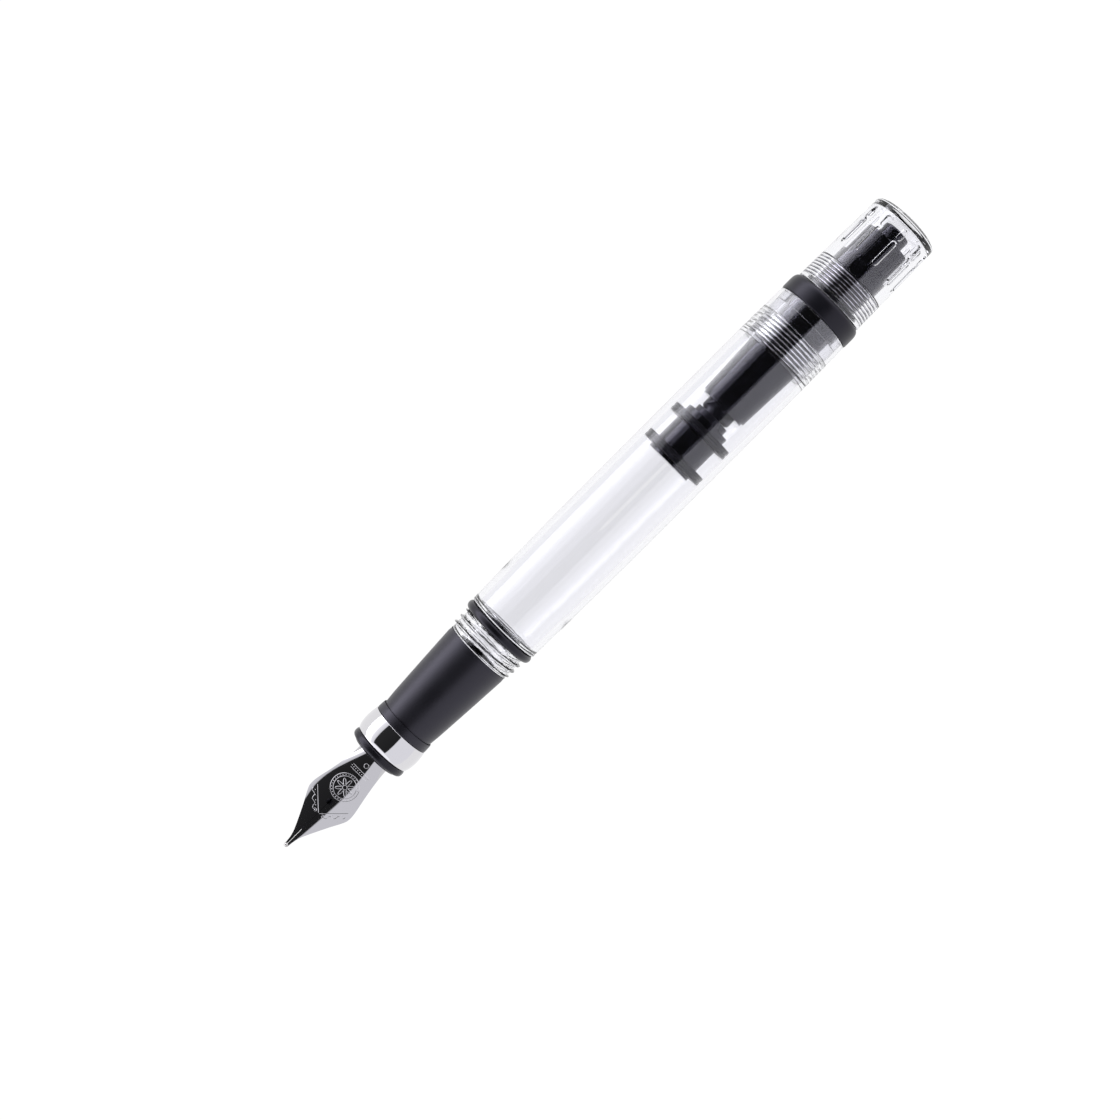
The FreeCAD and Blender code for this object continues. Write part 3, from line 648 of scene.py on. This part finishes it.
def nib_surface(x, y, lift=0.0):
    """The point of the nib's top at x and y."""
    crown, wide, tall, _ = nib_section(x)
    side = max(-0.999, min(0.999, y / wide))
    return leaned(x, y, crown - tall * (1 - math.sqrt(1 - side**2)) + lift)


def cut(piece, cutter):
    """Cuts the cutter out of the piece and removes it."""
    modifier = piece.modifiers.new("cut", "BOOLEAN")
    modifier.object, modifier.solver = cutter, "EXACT"
    settle(piece, modifier)
    bpy.data.objects.remove(cutter)


def prism(name, outline, low, high):
    """An upright prism on an outline of (x, y) points, from height low to high above the axis."""
    bm = bmesh.new()
    floor = [bm.verts.new(place(x, y, low)) for x, y in outline]
    top = [bm.verts.new(place(x, y, high)) for x, y in outline]
    bm.faces.new(floor)
    bm.faces.new(top)
    for k in range(len(outline)):
        n = (k + 1) % len(outline)
        bm.faces.new([floor[k], floor[n], top[n], top[k]])
    return made(name, bm)


def circle(x, y, radius, count):
    """Points round a circle on the plan of the nib."""
    angles = [math.tau * k / count for k in range(count)]
    return [(x + radius * math.cos(a), y + radius * math.sin(a)) for a in angles]


bm = bmesh.new()
stations, across = 110, 44
tip_start = half_widths[0][0]
rows = []
for i in range(stations + 1):
    share = i / stations
    x = tip_start + (nib_end - tip_start) * share**1.15
    crown, wide, tall, edge = nib_section(x)
    row = []
    for k in range(across + 1):
        a = edge * (2 * k / across - 1)
        row.append(bm.verts.new(leaned(x, wide * math.sin(a), crown - tall * (1 - math.cos(a)))))
    rows.append(row)
for low, high in zip(rows, rows[1:]):
    for k in range(across):
        bm.faces.new([low[k], high[k], high[k + 1], low[k + 1]])
nib = made("nib", bm)
if nib.data.polygons[0].normal.z < 0:
    nib.data.flip_normals()
thickness = nib.modifiers.new("sheet", "SOLIDIFY")
thickness.thickness, thickness.offset, thickness.use_even_offset = sheet * MM, -1.0, True
nib.data.materials.append(NIB_STEEL)
half = slit / 2
slit_plan = [(-1.0, -half), (breather_x, -half), (breather_x, half), (-1.0, half)]
cut(nib, prism("slit", slit_plan, -4.0, 6.0))
nib.modifiers.clear()
cut(nib, prism("breather", circle(breather_x, 0, breather_r, 48), -4.0, 6.0))
fit(nib, "nib_unit", "nib")


# ---- Nib engraving ----
# Decoration pressed into the nib's top: a chevron that ends in scrolls, a round medallion with a
# plain rosette, and a beaded band. The lines are half-round, so they catch light from every side.


def engraving_tree():
    """Geometry nodes that lay a round line along each edge path, and a bead on each loose point."""
    inputs = {"Line radius": "Float", "Bead radius": "Float", "Material": "Material"}
    tree, given = node_group("engraved_lines", inputs)
    paths = wire(tree, "GeometryNodeMeshToCurve", {"Mesh": given["Geometry"]}).outputs[0]
    round_line = {"Resolution": 8, "Radius": given["Line radius"]}
    section = wire(tree, "GeometryNodeCurvePrimitiveCircle", round_line)
    links = {"Curve": paths, "Profile Curve": section.outputs[0], "Fill Caps": True}
    lines = wire(tree, "GeometryNodeCurveToMesh", links).outputs[0]
    joints = wire(tree, "GeometryNodeInputMeshVertexNeighbors").outputs["Face Count"]
    edges = wire(tree, "GeometryNodeInputMeshVertexNeighbors").outputs["Vertex Count"]
    total = maths(tree, "ADD", joints, edges)
    loose = maths(tree, "LESS_THAN", total, 0.5)
    ball = wire(tree, "GeometryNodeMeshIcoSphere", {"Radius": given["Bead radius"], "Subdivisions": 3})
    links = {"Points": given["Geometry"], "Selection": loose, "Instance": ball.outputs[0]}
    beads = wire(tree, "GeometryNodeInstanceOnPoints", links).outputs[0]
    joined = wire(tree, "GeometryNodeJoinGeometry")
    tree.links.new(beads, joined.inputs[0])
    tree.links.new(lines, joined.inputs[0])
    finish_tree(tree, joined.outputs[0], given["Material"])
    return tree


ENGRAVED_STEEL = bright_metal("engraved_stainless_steel", "#CFCED0", 0.09, 0.05, (1.0, 1.0, 1.0))
line_r, bead_r, sunk = 0.048, 0.065, 0.0
bm = bmesh.new()


def engrave(points, closed=False):
    """Draws a line through (x, y) points on the nib's top."""
    verts = [bm.verts.new(nib_surface(x, y, sunk)) for x, y in points]
    for a, b in zip(verts, verts[1:] + (verts[:1] if closed else [])):
        bm.edges.new([a, b])


def bead_at(x, y):
    """Puts one bead on the nib's top."""
    bm.verts.new(nib_surface(x, y, sunk))


chevron_tip, chevron_back, chevron_half = 7.0, 9.85, 0.80 * nib_shoulder
for side in (1, -1):
    run = Vector((chevron_back - chevron_tip, side * chevron_half))
    off = Vector((-run.y, run.x)).normalized() * side
    engrave([(chevron_tip + run.x * t, run.y * t) for t in (0.03 + 0.0485 * k for k in range(21))])
    scroll = []
    for k in range(60):
        t = k / 59
        ripple = 0.62 + 0.17 * math.sin(math.tau * 2.5 * t)
        p = Vector((chevron_tip, 0)) + run * (0.16 + 0.74 * t) + off * ripple
        scroll.append((p.x, p.y))
    engrave(scroll)
    curl = Vector((chevron_tip, 0)) + run * 0.13 + off * 0.45
    coil = [(0.35 * k, 0.04 + 0.011 * k) for k in range(22)]
    engrave([(curl.x + r * math.cos(a), curl.y + r * math.sin(a)) for a, r in coil])
    for k in range(4):
        t = 0.3 + 0.17 * k
        p = Vector((chevron_tip, 0)) + run * t + off * 0.34
        bead_at(p.x, p.y)
medal_x, medal_r = 12.3, 2.05
for radius in (medal_r, 0.80 * medal_r):
    engrave(circle(medal_x, 0, radius, 72), closed=True)
petals, turns = 8, 96
rosette = []
for k in range(turns):
    a = math.tau * k / turns
    r = 0.44 * medal_r + 0.22 * medal_r * math.cos(petals * a)
    rosette.append((medal_x + r * math.cos(a), r * math.sin(a)))
engrave(rosette, closed=True)
engrave(circle(medal_x, 0, 0.16 * medal_r, 24), closed=True)
for x, y in circle(medal_x, 0, 0.90 * medal_r, 28):
    bead_at(x, y)
band_x, band_half = 15.3, 1.5
for edge_x in (band_x - 0.28, band_x + 0.28):
    engrave([(edge_x, band_half * (k / 10 - 1)) for k in range(21)])
for k in range(9):
    bead_at(band_x, band_half * (k / 4 - 1))
engrave(circle(16.6, 0, 0.33, 20), closed=True)
mesh = bpy.data.meshes.new("nib_engraving")
bm.to_mesh(mesh)
bm.free()
engraving = bpy.data.objects.new("nib_engraving", mesh)
bpy.context.scene.collection.objects.link(engraving)
sizes = {"Line radius": line_r * MM, "Bead radius": bead_r * MM, "Material": ENGRAVED_STEEL}
worked(engraving, engraving_tree(), sizes)
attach(engraving, "nib_unit")


# ---- Nib tipping ----
# A bead of hard osmium alloy welded to the very tip, ground smooth for the paper. The slit parts it
# in two, as it does the nib.

TIP_ALLOY = bright_metal("ground_tipping_alloy", "#B9B7B6", 0.20, 0.03, (1.0, 1.0, 1.0))
start, end, bead = span("nib_tipping")
steps = 18
turns = [math.pi * k / steps for k in range(1, steps)]
outline = [Vector((bead - bead * math.cos(a), bead * math.sin(a))) for a in turns]
outline = [Vector((0, 0))] + outline + [Vector((2 * bead, 0))]
tipping = turned("nib_tipping", outline, TIP_ALLOY, sides=40)
tipping.data.transform(Matrix.Translation((start * MM, 0, 0.30 * MM)))
cut(tipping, prism("slit", slit_plan, -4.0, 6.0))
fit(tipping, "nib_unit", "nib_tipping")


# ---- Feed ----
# The black finned rod under the nib, moulded in ABS. Its comb of fins holds back spare ink, and a
# fine channel along the top leads ink to the slit.


def comb_tree():
    """Geometry nodes that repeat one fin along the feed, each scaled to the body that it stands on."""
    sizes = {"Spacing": "Float", "First scale": "Float", "Scale step": "Float"}
    tree, given = node_group("feed_comb", {"Fins": "Int", **sizes, "Material": "Material"})
    step = wire(tree, "ShaderNodeCombineXYZ", {"X": given["Spacing"]}).outputs[0]
    row = {"Count": given["Fins"], "Start Location": (0.0, 0.0, AXIS_Z), "Offset": step}
    line = wire(tree, "GeometryNodeMeshLine", row)
    index = wire(tree, "GeometryNodeInputIndex").outputs[0]
    grown = maths(tree, "MULTIPLY", index, given["Scale step"])
    size = maths(tree, "ADD", grown, given["First scale"])
    scale = wire(tree, "ShaderNodeCombineXYZ", {"X": 1.0, "Y": size, "Z": size}).outputs[0]
    down = (0.0, 0.0, -AXIS_Z)
    fin = wire(tree, "GeometryNodeTransform", {"Geometry": given["Geometry"], "Translation": down}).outputs[0]
    links = {"Points": line.outputs[0], "Instance": fin, "Scale": scale}
    fins = wire(tree, "GeometryNodeInstanceOnPoints", links).outputs[0]
    finish_tree(tree, fins, given["Material"])
    return tree


FEED_PLASTIC = moulded_plastic("satin_black_abs", "#15151A", 0.34, 0.10, 0.003)
feed_end = span("feed")[1]
feed_r, comb_start, fin_count, fin_pitch, fin_width = 2.18, 9.78, 9, 0.78, 0.46
corners = [
    (3.4, 0.0, 0),
    (3.45, 0.30, 0.05),
    (6.0, 0.80, 0.5),
    (comb_start - 0.15, 1.45, 0.05),
    (comb_start - 0.15, 1.0, 0.05),
    (comb_start + fin_count * fin_pitch, 1.1, 0.05),
    (comb_start + fin_count * fin_pitch, feed_r - 0.05, 0.08),
    (17.6, feed_r, 0.3),
    (feed_shoulder - 0.05, feed_r, 0.1),
    (feed_shoulder - 0.05, 1.10, 0.05),
    (feed_end, 1.10, 0.15),
    (feed_end, 0.0, 0),
]
feed = turned("feed", softened(corners, 4), FEED_PLASTIC, sides=96)
channel = [(5.0, -0.15), (feed_shoulder - 1, -0.15), (feed_shoulder - 1, 0.15), (5.0, 0.15)]
cut(feed, prism("channel", channel, 0.75, 3.0))
fit(feed, "nib_unit", "feed")

fin_outline = softened([(0, 0.6, 0), (0, 1.0, 0.05), (fin_width, 1.0, 0.05), (fin_width, 0.6, 0)])
fins = turned("feed_fins", fin_outline, sides=96)
above = [(-1, -3), (2, -3), (2, 3), (-1, 3)]
cut(fins, prism("above", above, 0.32, 3.0))
fins.data.transform(Matrix.Translation((-TIP_X, 0, 0)))
sizes = {
    "Fins": fin_count,
    "Spacing": fin_pitch * MM,
    "First scale": 1.52,
    "Scale step": 0.058,
    "Material": FEED_PLASTIC,
}
worked(fins, comb_tree(), sizes)
fins.data.transform(Matrix.Translation((TIP_X + comb_start * MM, 0, 0)))
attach(fins, "nib_unit")


# ---- Piston: head cap, core and two seals ----
# The spool that pushes the ink: a black core with a thin front disc snapped in, and two soft rings
# that wipe the chamber's wall. All are moulded; the seals are a duller silicone rubber.

start, end, outer = span("piston_head_cap")
front_seal = span("front_seal")
rear_seal = span("rear_seal")
cap_rear = front_seal[0] - 0.01
corners = [
    (start, 0, 0),
    (start, outer, 0.15),
    (cap_rear, outer, 0.04),
    (cap_rear, 1.2, 0.03),
    (end, 1.2, 0.1),
    (end, 0, 0),
]
head_cap = turned("piston_head_cap", softened(corners), GLOSS_PLASTIC)
fit(head_cap, "piston", "piston_head_cap")

head_start, head_end, head_r = span("piston_head")
seat, stem_hole, tenon_hole, tenon, stem, web_hole = 2.85, 1.22, 1.63, 3.0, 2.4, 0.02
corners = [
    (head_start, stem_hole, 0.04),
    (head_start, seat, 0.04),
    (front_seal[1] + 0.01, seat, 0.03),
    (front_seal[1] + 0.01, head_r, 0.08),
    (rear_seal[0] - 0.01, head_r, 0.08),
    (rear_seal[0] - 0.01, seat, 0.03),
    (rear_seal[1] + 0.01, seat, 0.03),
    (rear_seal[1] + 0.01, head_r, 0.06),
    (head_end, head_r, 0.10),
    (head_end, tenon_hole, 0.05),
    (head_end - tenon, tenon_hole, 0.05),
    (head_end - tenon, web_hole, 0),
    (head_start + stem, web_hole, 0),
    (head_start + stem, stem_hole, 0.04),
]
head = turned("piston_head", softened(corners), GLOSS_PLASTIC, sides=120)
fit(head, "piston", "piston_head")

SEAL_RUBBER = nitrile("black_silicone_seal", "#17171C", 0.42)
for name, (start, end, outer) in (("front_seal", front_seal), ("rear_seal", rear_seal)):
    middle = (start + end) / 2
    corners = [
        (start, seat + 0.02, 0.05),
        (start, outer, 0.10),
        (middle - 0.2, outer, 0.06),
        (middle, outer - 0.10, 0.10),
        (middle + 0.2, outer, 0.06),
        (end, outer, 0.10),
        (end, seat + 0.02, 0.05),
    ]
    seal = turned(name, softened(corners), SEAL_RUBBER)
    fit(seal, "piston", name)


# ---- Piston rod ----
# A long black rod, moulded in glass-filled nylon. A coarse two-start thread runs along it, and two
# flats along its sides slide in the keyed mouth of the sleeve, so it can't turn.

ROD_NYLON = moulded_plastic("black_glass_filled_nylon", "#121218", 0.28, 0.15, 0.003)
start, end, collar_r = span("piston_rod")
rod_front, rod_core_r, rod_r, rod_flat, rod_lead = head_end, 1.96, 2.41, 2.03, 8.0
collar_end = rod_front + 0.95
corners = [
    (start, 0, 0),
    (start, 1.60, 0.1),
    (rod_front + 0.01, 1.60, 0.04),
    (rod_front + 0.01, collar_r, 0.08),
    (collar_end, collar_r, 0.08),
    (collar_end, rod_core_r, 0.05),
    (end, rod_core_r, 0.15),
    (end, 0, 0),
]
rod = turned("piston_rod", softened(corners), ROD_NYLON, sides=96, threads=[(collar_end, end, 0.25)])
nut_x = 87.8
nut_phase = place(nut_x, 0, 0).x / (rod_lead / 2 * MM)
ribs = {"starts": 2, "crest": -0.31, "phase": nut_phase + 0.5}
wall = (rod_core_r - 0.04, rod_core_r + 0.04)
threaded(rod, ROD_NYLON, collar_end + 0.1, end - 0.1, *wall, rod_lead / 2, rod_r - rod_core_r, **ribs)
for vert in rod.data.vertices:
    if vert.co.x > place(collar_end + 0.02, 0, 0).x:
        depth = vert.co.z - AXIS_Z
        vert.co.z = AXIS_Z + max(-rod_flat * MM, min(rod_flat * MM, depth))
shaded(rod.data)
fit(rod, "piston", "piston_rod")


# ---- Mechanism sleeve ----
# The fixed black tube in the rear of the barrel. Its mouth guides the rod, its flange stops in the
# bushing, and its threaded stub behind the collar carries the knob. Moulded, with a high gloss.

start, end, flange_r = span("mechanism_sleeve")
collar_front, collar_rear, collar_outer = span("collar_ring")
flange_front = barrel_rear - 1.4
stub_root, stub_crest, knob_pitch = 3.67, 3.95, 0.50
sleeve_bore, sleeve_front_r, sleeve_r, mouth_r = 3.01, 3.73, 4.08, 2.45
stub_start = collar_rear + 0.02
corners = [
    (start, mouth_r, 0.06),
    (start, 3.43, 0.08),
    (start + 0.40, 3.43, 0.05),
    (start + 0.40, sleeve_front_r, 0.10),
    (bushing_front - 0.2, sleeve_r, 0.3),
    (flange_front, sleeve_r, 0.03),
    (flange_front, flange_r, 0.06),
    (stub_start, flange_r, 0.05),
    (stub_start, stub_root, 0.03),
    (end, stub_root, 0.12),
    (end, sleeve_bore, 0.05),
    (start + 1.2, sleeve_bore, 0.05),
    (start + 1.2, mouth_r, 0.05),
]
stub_thread = (collar_rear + 0.55, end - 0.2)
fine = [(*stub_thread, 0.045)]
sleeve = turned("mechanism_sleeve", softened(corners), GLOSS_PLASTIC, sides=160, threads=fine)
stub_depth = stub_crest - stub_root
threaded(sleeve, GLOSS_PLASTIC, *stub_thread, stub_root - 0.02, stub_root + 0.02, knob_pitch, stub_depth)
fit(sleeve, "barrel", "mechanism_sleeve")


# ---- Threaded bushing ----
# A clear acrylic plug, turned and threaded outside, that screws into the barrel's rear and clamps
# the sleeve's flange. Being clear, it shows only by the bright lines of its thread.

start, end, outer = span("threaded_bushing")
bushing_root = 5.20
inner = sleeve_r + 0.02
corners = [
    (start, inner, 0.05),
    (start, bushing_root, 0.10),
    (bore_thread[1] + 0.1, bushing_root, 0.05),
    (bore_thread[1] + 0.2, outer, 0.06),
    (end, outer, 0.08),
    (end, flange_r + 0.02, 0.06),
    (flange_front - 0.02, flange_r + 0.02, 0.04),
    (flange_front - 0.02, inner, 0.04),
]
fine = [(*bore_thread, 0.05)]
bushing = turned("threaded_bushing", softened(corners), ACRYLIC, sides=180, threads=fine)
wall = (bushing_root - 0.03, bushing_root + 0.03)
ridges = {"crest": 0.5, "ridge": CUT_ACRYLIC}
threaded(bushing, ACRYLIC, *bore_thread, *wall, bushing_pitch, bore_depth, **ridges)
fit(bushing, "barrel", "threaded_bushing")


# ---- Collar ring ----
# The soft black ring between barrel and knob, moulded in a satin thermoplastic rubber. Its rear edge
# is rounded right over, to meet the narrower knob.

COLLAR_RUBBER = nitrile("black_thermoplastic_rubber", "#0B0B0F", 0.36)
start, end, outer = collar_front, collar_rear, collar_outer
bore_r = flange_r + 0.02
corners = [(start, bore_r, 0.1), (start, outer, 0.35), (end, outer, 1.9), (end, bore_r, 0.1)]
collar = turned("collar_ring", softened(corners, 14), COLLAR_RUBBER, sides=180)
fit(collar, "barrel", "collar_ring")


# ---- Drive tube and drive plug ----
# The black tube that turns with the knob. Its front end is the nut that drives the rod, its wider
# head is pressed into the knob, and the plug closes its rear.

start, end, head_seat_r = span("drive_tube")
plug_start, plug_end, plug_r = span("drive_plug")
head_x, head_step, head_radius = 111.4, 113.6, 3.58
tube_bore, tube_r, bore_end, plug_hole = 2.47, 2.97, 117.7, 0.72
nut_end = start + 2.6
corners = [
    (start, tube_bore, 0.05),
    (start, tube_r, 0.08),
    (head_x, tube_r, 0.05),
    (head_x, head_seat_r, 0.08),
    (head_step, head_seat_r, 0.06),
    (head_step, head_radius, 0.04),
    (end, head_radius, 0.18),
    (end, plug_hole, 0.04),
    (bore_end, plug_hole, 0.04),
    (bore_end, tube_bore, 0.05),
]
drive_tube = turned("drive_tube", softened(corners), GLOSS_PLASTIC, sides=120, threads=[(start, nut_end, 0.2)])
ribs = {"starts": 2, "crest": 0.43, "phase": nut_phase}
wall = (tube_bore - 0.03, tube_bore + 0.03)
threaded(drive_tube, GLOSS_PLASTIC, start - 0.4, nut_end, *wall, rod_lead / 2, -0.41, **ribs)
fit(drive_tube, "knob", "drive_tube")

corners = [
    (plug_start, 0, 0),
    (plug_start, 0.70, 0.05),
    (end + 0.01, 0.70, 0.03),
    (end + 0.01, plug_r, 0.05),
    (plug_end, plug_r, 0.42),
    (plug_end, 0, 0),
]
plug = turned("drive_plug", softened(corners, 8), GLOSS_PLASTIC, sides=96)
fit(plug, "knob", "drive_plug")


# ---- Knob and friction ring ----
# The turning knob: a thick clear acrylic thimble with a fine thread inside and grip flutes milled
# outside. A small rubber ring in its mouth keeps it from turning by itself.


def flute_tree():
    """Geometry nodes that mill the same pair of flutes at even turns round the pen."""
    inputs = {"Cutter": "Object", "Flutes": "Int", "First turn": "Float"}
    inputs |= {"Material": "Material", "Kept material": "Material"}
    tree, given = node_group("milled_flutes", inputs)
    cutter = wire(tree, "GeometryNodeObjectInfo", {"Object": given["Cutter"]}).outputs["Geometry"]
    down = (0.0, 0.0, -AXIS_Z)
    cutter = wire(tree, "GeometryNodeTransform", {"Geometry": cutter, "Translation": down}).outputs[0]
    still = {"Count": given["Flutes"], "Start Location": (0.0, 0.0, AXIS_Z), "Offset": (0.0, 0.0, 0.0)}
    spots = wire(tree, "GeometryNodeMeshLine", still).outputs[0]
    index = wire(tree, "GeometryNodeInputIndex").outputs[0]
    share = maths(tree, "DIVIDE", index, given["Flutes"])
    angle = maths(tree, "MULTIPLY", share, math.tau)
    angle = maths(tree, "ADD", angle, given["First turn"])
    turn = wire(tree, "ShaderNodeCombineXYZ", {"X": angle}).outputs[0]
    links = {"Points": spots, "Instance": cutter, "Rotation": turn}
    cutters = wire(tree, "GeometryNodeInstanceOnPoints", links).outputs[0]
    cutters = wire(tree, "GeometryNodeRealizeInstances", {"Geometry": cutters}).outputs[0]
    whole = {"Mesh 1": given["Geometry"]}
    milled = wire(tree, "GeometryNodeMeshBoolean", whole, operation="DIFFERENCE", solver="EXACT")
    tree.links.new(cutters, milled.inputs["Mesh 2"])
    real = wire(tree, "GeometryNodeRealizeInstances", {"Geometry": milled.outputs[0]}).outputs[0]
    ridges = wire(tree, "GeometryNodeMaterialSelection", {"Material": given["Kept material"]}).outputs[0]
    others = wire(tree, "FunctionNodeBooleanMath", {0: ridges}, operation="NOT").outputs[0]
    links = {"Geometry": real, "Selection": others, "Material": given["Material"]}
    wire(tree, "NodeGroupOutput", {0: wire(tree, "GeometryNodeSetMaterial", links).outputs[0]})
    return tree


start, end, front_r = span("knob")
rear_r, dome, cavity_end, recess, rim = 5.26, 0.90, end - 1.8, 0.80, 0.30
knob_minor, knob_major = 3.72, 3.98
recess_r = 4.58
knob_thread = (start + recess, start + 4.5)
rim_r = rear_r - rim
dome_r = (rim_r**2 + dome**2) / (2 * dome)
crown = []
for k in range(1, 14):
    r = rim_r * (1 - k / 14)
    crown.append(Vector((end - dome_r + math.sqrt(dome_r**2 - r**2), r)))
corners = [
    (cavity_end, 0, 0),
    (cavity_end, knob_major, 0.25),
    (knob_thread[1] + 0.1, knob_major, 0.1),
    (knob_thread[1], knob_minor, 0.1),
    (start + recess, knob_minor, 0.05),
    (start + recess, recess_r, 0.08),
    (start, recess_r, 0.08),
    (start, front_r, 0.22),
    (end - dome - rim, rear_r, 0.25),
    (end - dome, rim_r, 0.15),
]
outline = softened(corners, 6) + crown + [Vector((end, 0))]
knob = turned("knob", outline, ACRYLIC, sides=176, threads=[(*knob_thread, 0.042)])
wall = (knob_minor - 0.02, knob_minor + 0.02)
threaded(knob, ACRYLIC, *knob_thread, *wall, knob_pitch, knob_major - knob_minor, **ridges)
flute_spans = [(start + 7.3, start + 11.5), (start + 11.9, start + 13.6)]
flute_half, flute_depth, flare, flutes = 0.36, 0.35, 0.10, 11
bm = bmesh.new()
for low, high in flute_spans:
    levels = []
    for height, grow in ((-flute_depth, -0.02), (0.02, flare), (1.5, flare + 0.1)):
        r = flute_half + grow
        ring = []
        for centre, first in ((low + flute_half, 90), (high - flute_half, 270)):
            for k in range(13):
                a = math.radians(first + 15 * k)
                x = centre + r * math.cos(a)
                wall_r = front_r - (front_r - rear_r) * (x - start) / (end - start)
                ring.append(bm.verts.new(place(x, r * math.sin(a), wall_r + height)))
        levels.append(ring)
    bm.faces.new(levels[0])
    bm.faces.new(levels[-1])
    for a, b in zip(levels, levels[1:]):
        for k in range(len(a)):
            n = (k + 1) % len(a)
            bm.faces.new([a[k], a[n], b[n], b[k]])
cutter = made("flute_cutter", bm)
cutter.data.materials.append(ACRYLIC)
sizes = {
    "Cutter": cutter,
    "Flutes": flutes,
    "First turn": math.radians(7),
    "Material": ACRYLIC,
    "Kept material": CUT_ACRYLIC,
}
worked(knob, flute_tree(), sizes)
bpy.data.objects.remove(cutter)
fit(knob, "knob", "knob")

friction_ring = o_ring("friction_ring", sides=96)
fit(friction_ring, "knob_carriage", "friction_ring")


# ---- Studio ----
# A pale table, and the light of two long soft boxes on either side of a dark ceiling strip that runs
# along the pen. The camera looks straight down, turned so that the pen lies across the view.

looks = {
    "Base Color": linear("#3A3A3B"),
    "Roughness": 0.8,
    "Specular IOR Level": 0.0,
    "Emission Color": linear("#FFFFFF"),
    "Emission Strength": 1.0,
}
table_material, tree, shader = blank_material("pale_lit_table", looks)
where = wire(tree, "ShaderNodeTexCoord").outputs["Object"]
paper = wire(tree, "ShaderNodeTexNoise", {"Vector": where, "Scale": 400.0, "Detail": 3.0})
emboss(tree, shader, paper.outputs["Fac"], 0.05, 0.1)
half = 1.5
corners = [(-half, -half), (half, -half), (half, half), (-half, half)]
bm = bmesh.new()
bm.faces.new([bm.verts.new((x, y, 0)) for x, y in corners])
table = made("table", bm)
if table.data.polygons[0].normal.z < 0:
    table.data.flip_normals()
table.data.materials.append(table_material)

world = bpy.data.worlds.new("studio_light")
bpy.context.scene.world = world
world.use_nodes = True
tree = world.node_tree
tree.nodes.clear()
outlook = wire(tree, "ShaderNodeTexCoord").outputs["Generated"]
direction = wire(tree, "ShaderNodeSeparateXYZ", {0: outlook}).outputs
lean = maths(tree, "ARCTAN2", direction["Y"], direction["Z"])
degrees = maths(tree, "DEGREES", lean)
widest = 100.0
links = {"Value": degrees, "From Min": -widest, "From Max": widest}
turned_by = wire(tree, "ShaderNodeMapRange", links).outputs[0]
brightness = [(-21, 1.0), (-19, 0.02), (40, 0.03), (42, 0.9), (56, 1.2), (63, 2.2), (70, 3.2), (90, 4.6)]
full = 8.0
ramp = wire(tree, "ShaderNodeValToRGB", {"Fac": turned_by})
stops = ramp.color_ramp.elements
while len(stops) < len(brightness):
    stops.new(1.0)
for stop, (angle, light) in zip(stops, brightness):
    stop.position = (angle + widest) / (2 * widest)
    stop.color = (light / full, light / full, light / full, 1.0)
sides = maths(tree, "MULTIPLY", ramp.outputs["Color"], full)
reach = maths(tree, "ABSOLUTE", direction["X"])
links = {"Value": reach, "From Min": 0.62, "From Max": 0.70, "To Max": 1.3}
ends = wire(tree, "ShaderNodeMapRange", links).outputs[0]
total = maths(tree, "MAXIMUM", sides, ends)
glow = wire(tree, "ShaderNodeBackground", {"Color": linear("#FAFAFF"), "Strength": total})
wire(tree, "ShaderNodeOutputWorld", {"Surface": glow.outputs[0]})

camera_data = bpy.data.cameras.new("camera")
camera_data.lens, camera_data.sensor_width = 66.5, 36.0
camera_data.clip_start, camera_data.clip_end = 0.01, 10.0
camera = bpy.data.objects.new("camera", camera_data)
bpy.context.scene.collection.objects.link(camera)
eye = place(68.49, 1.04, 287.3)
aim = place(55.69, 1.04, 0)
back = (eye - aim).normalized()
across = Vector((1, -1, 0))
across = (across - back * across.dot(back)).normalized()
upward = back.cross(across)
camera.matrix_world = Matrix.Translation(eye) @ Matrix((across, upward, back)).transposed().to_4x4()
bpy.context.scene.camera = camera
bpy.context.scene.view_settings.view_transform = "Standard"
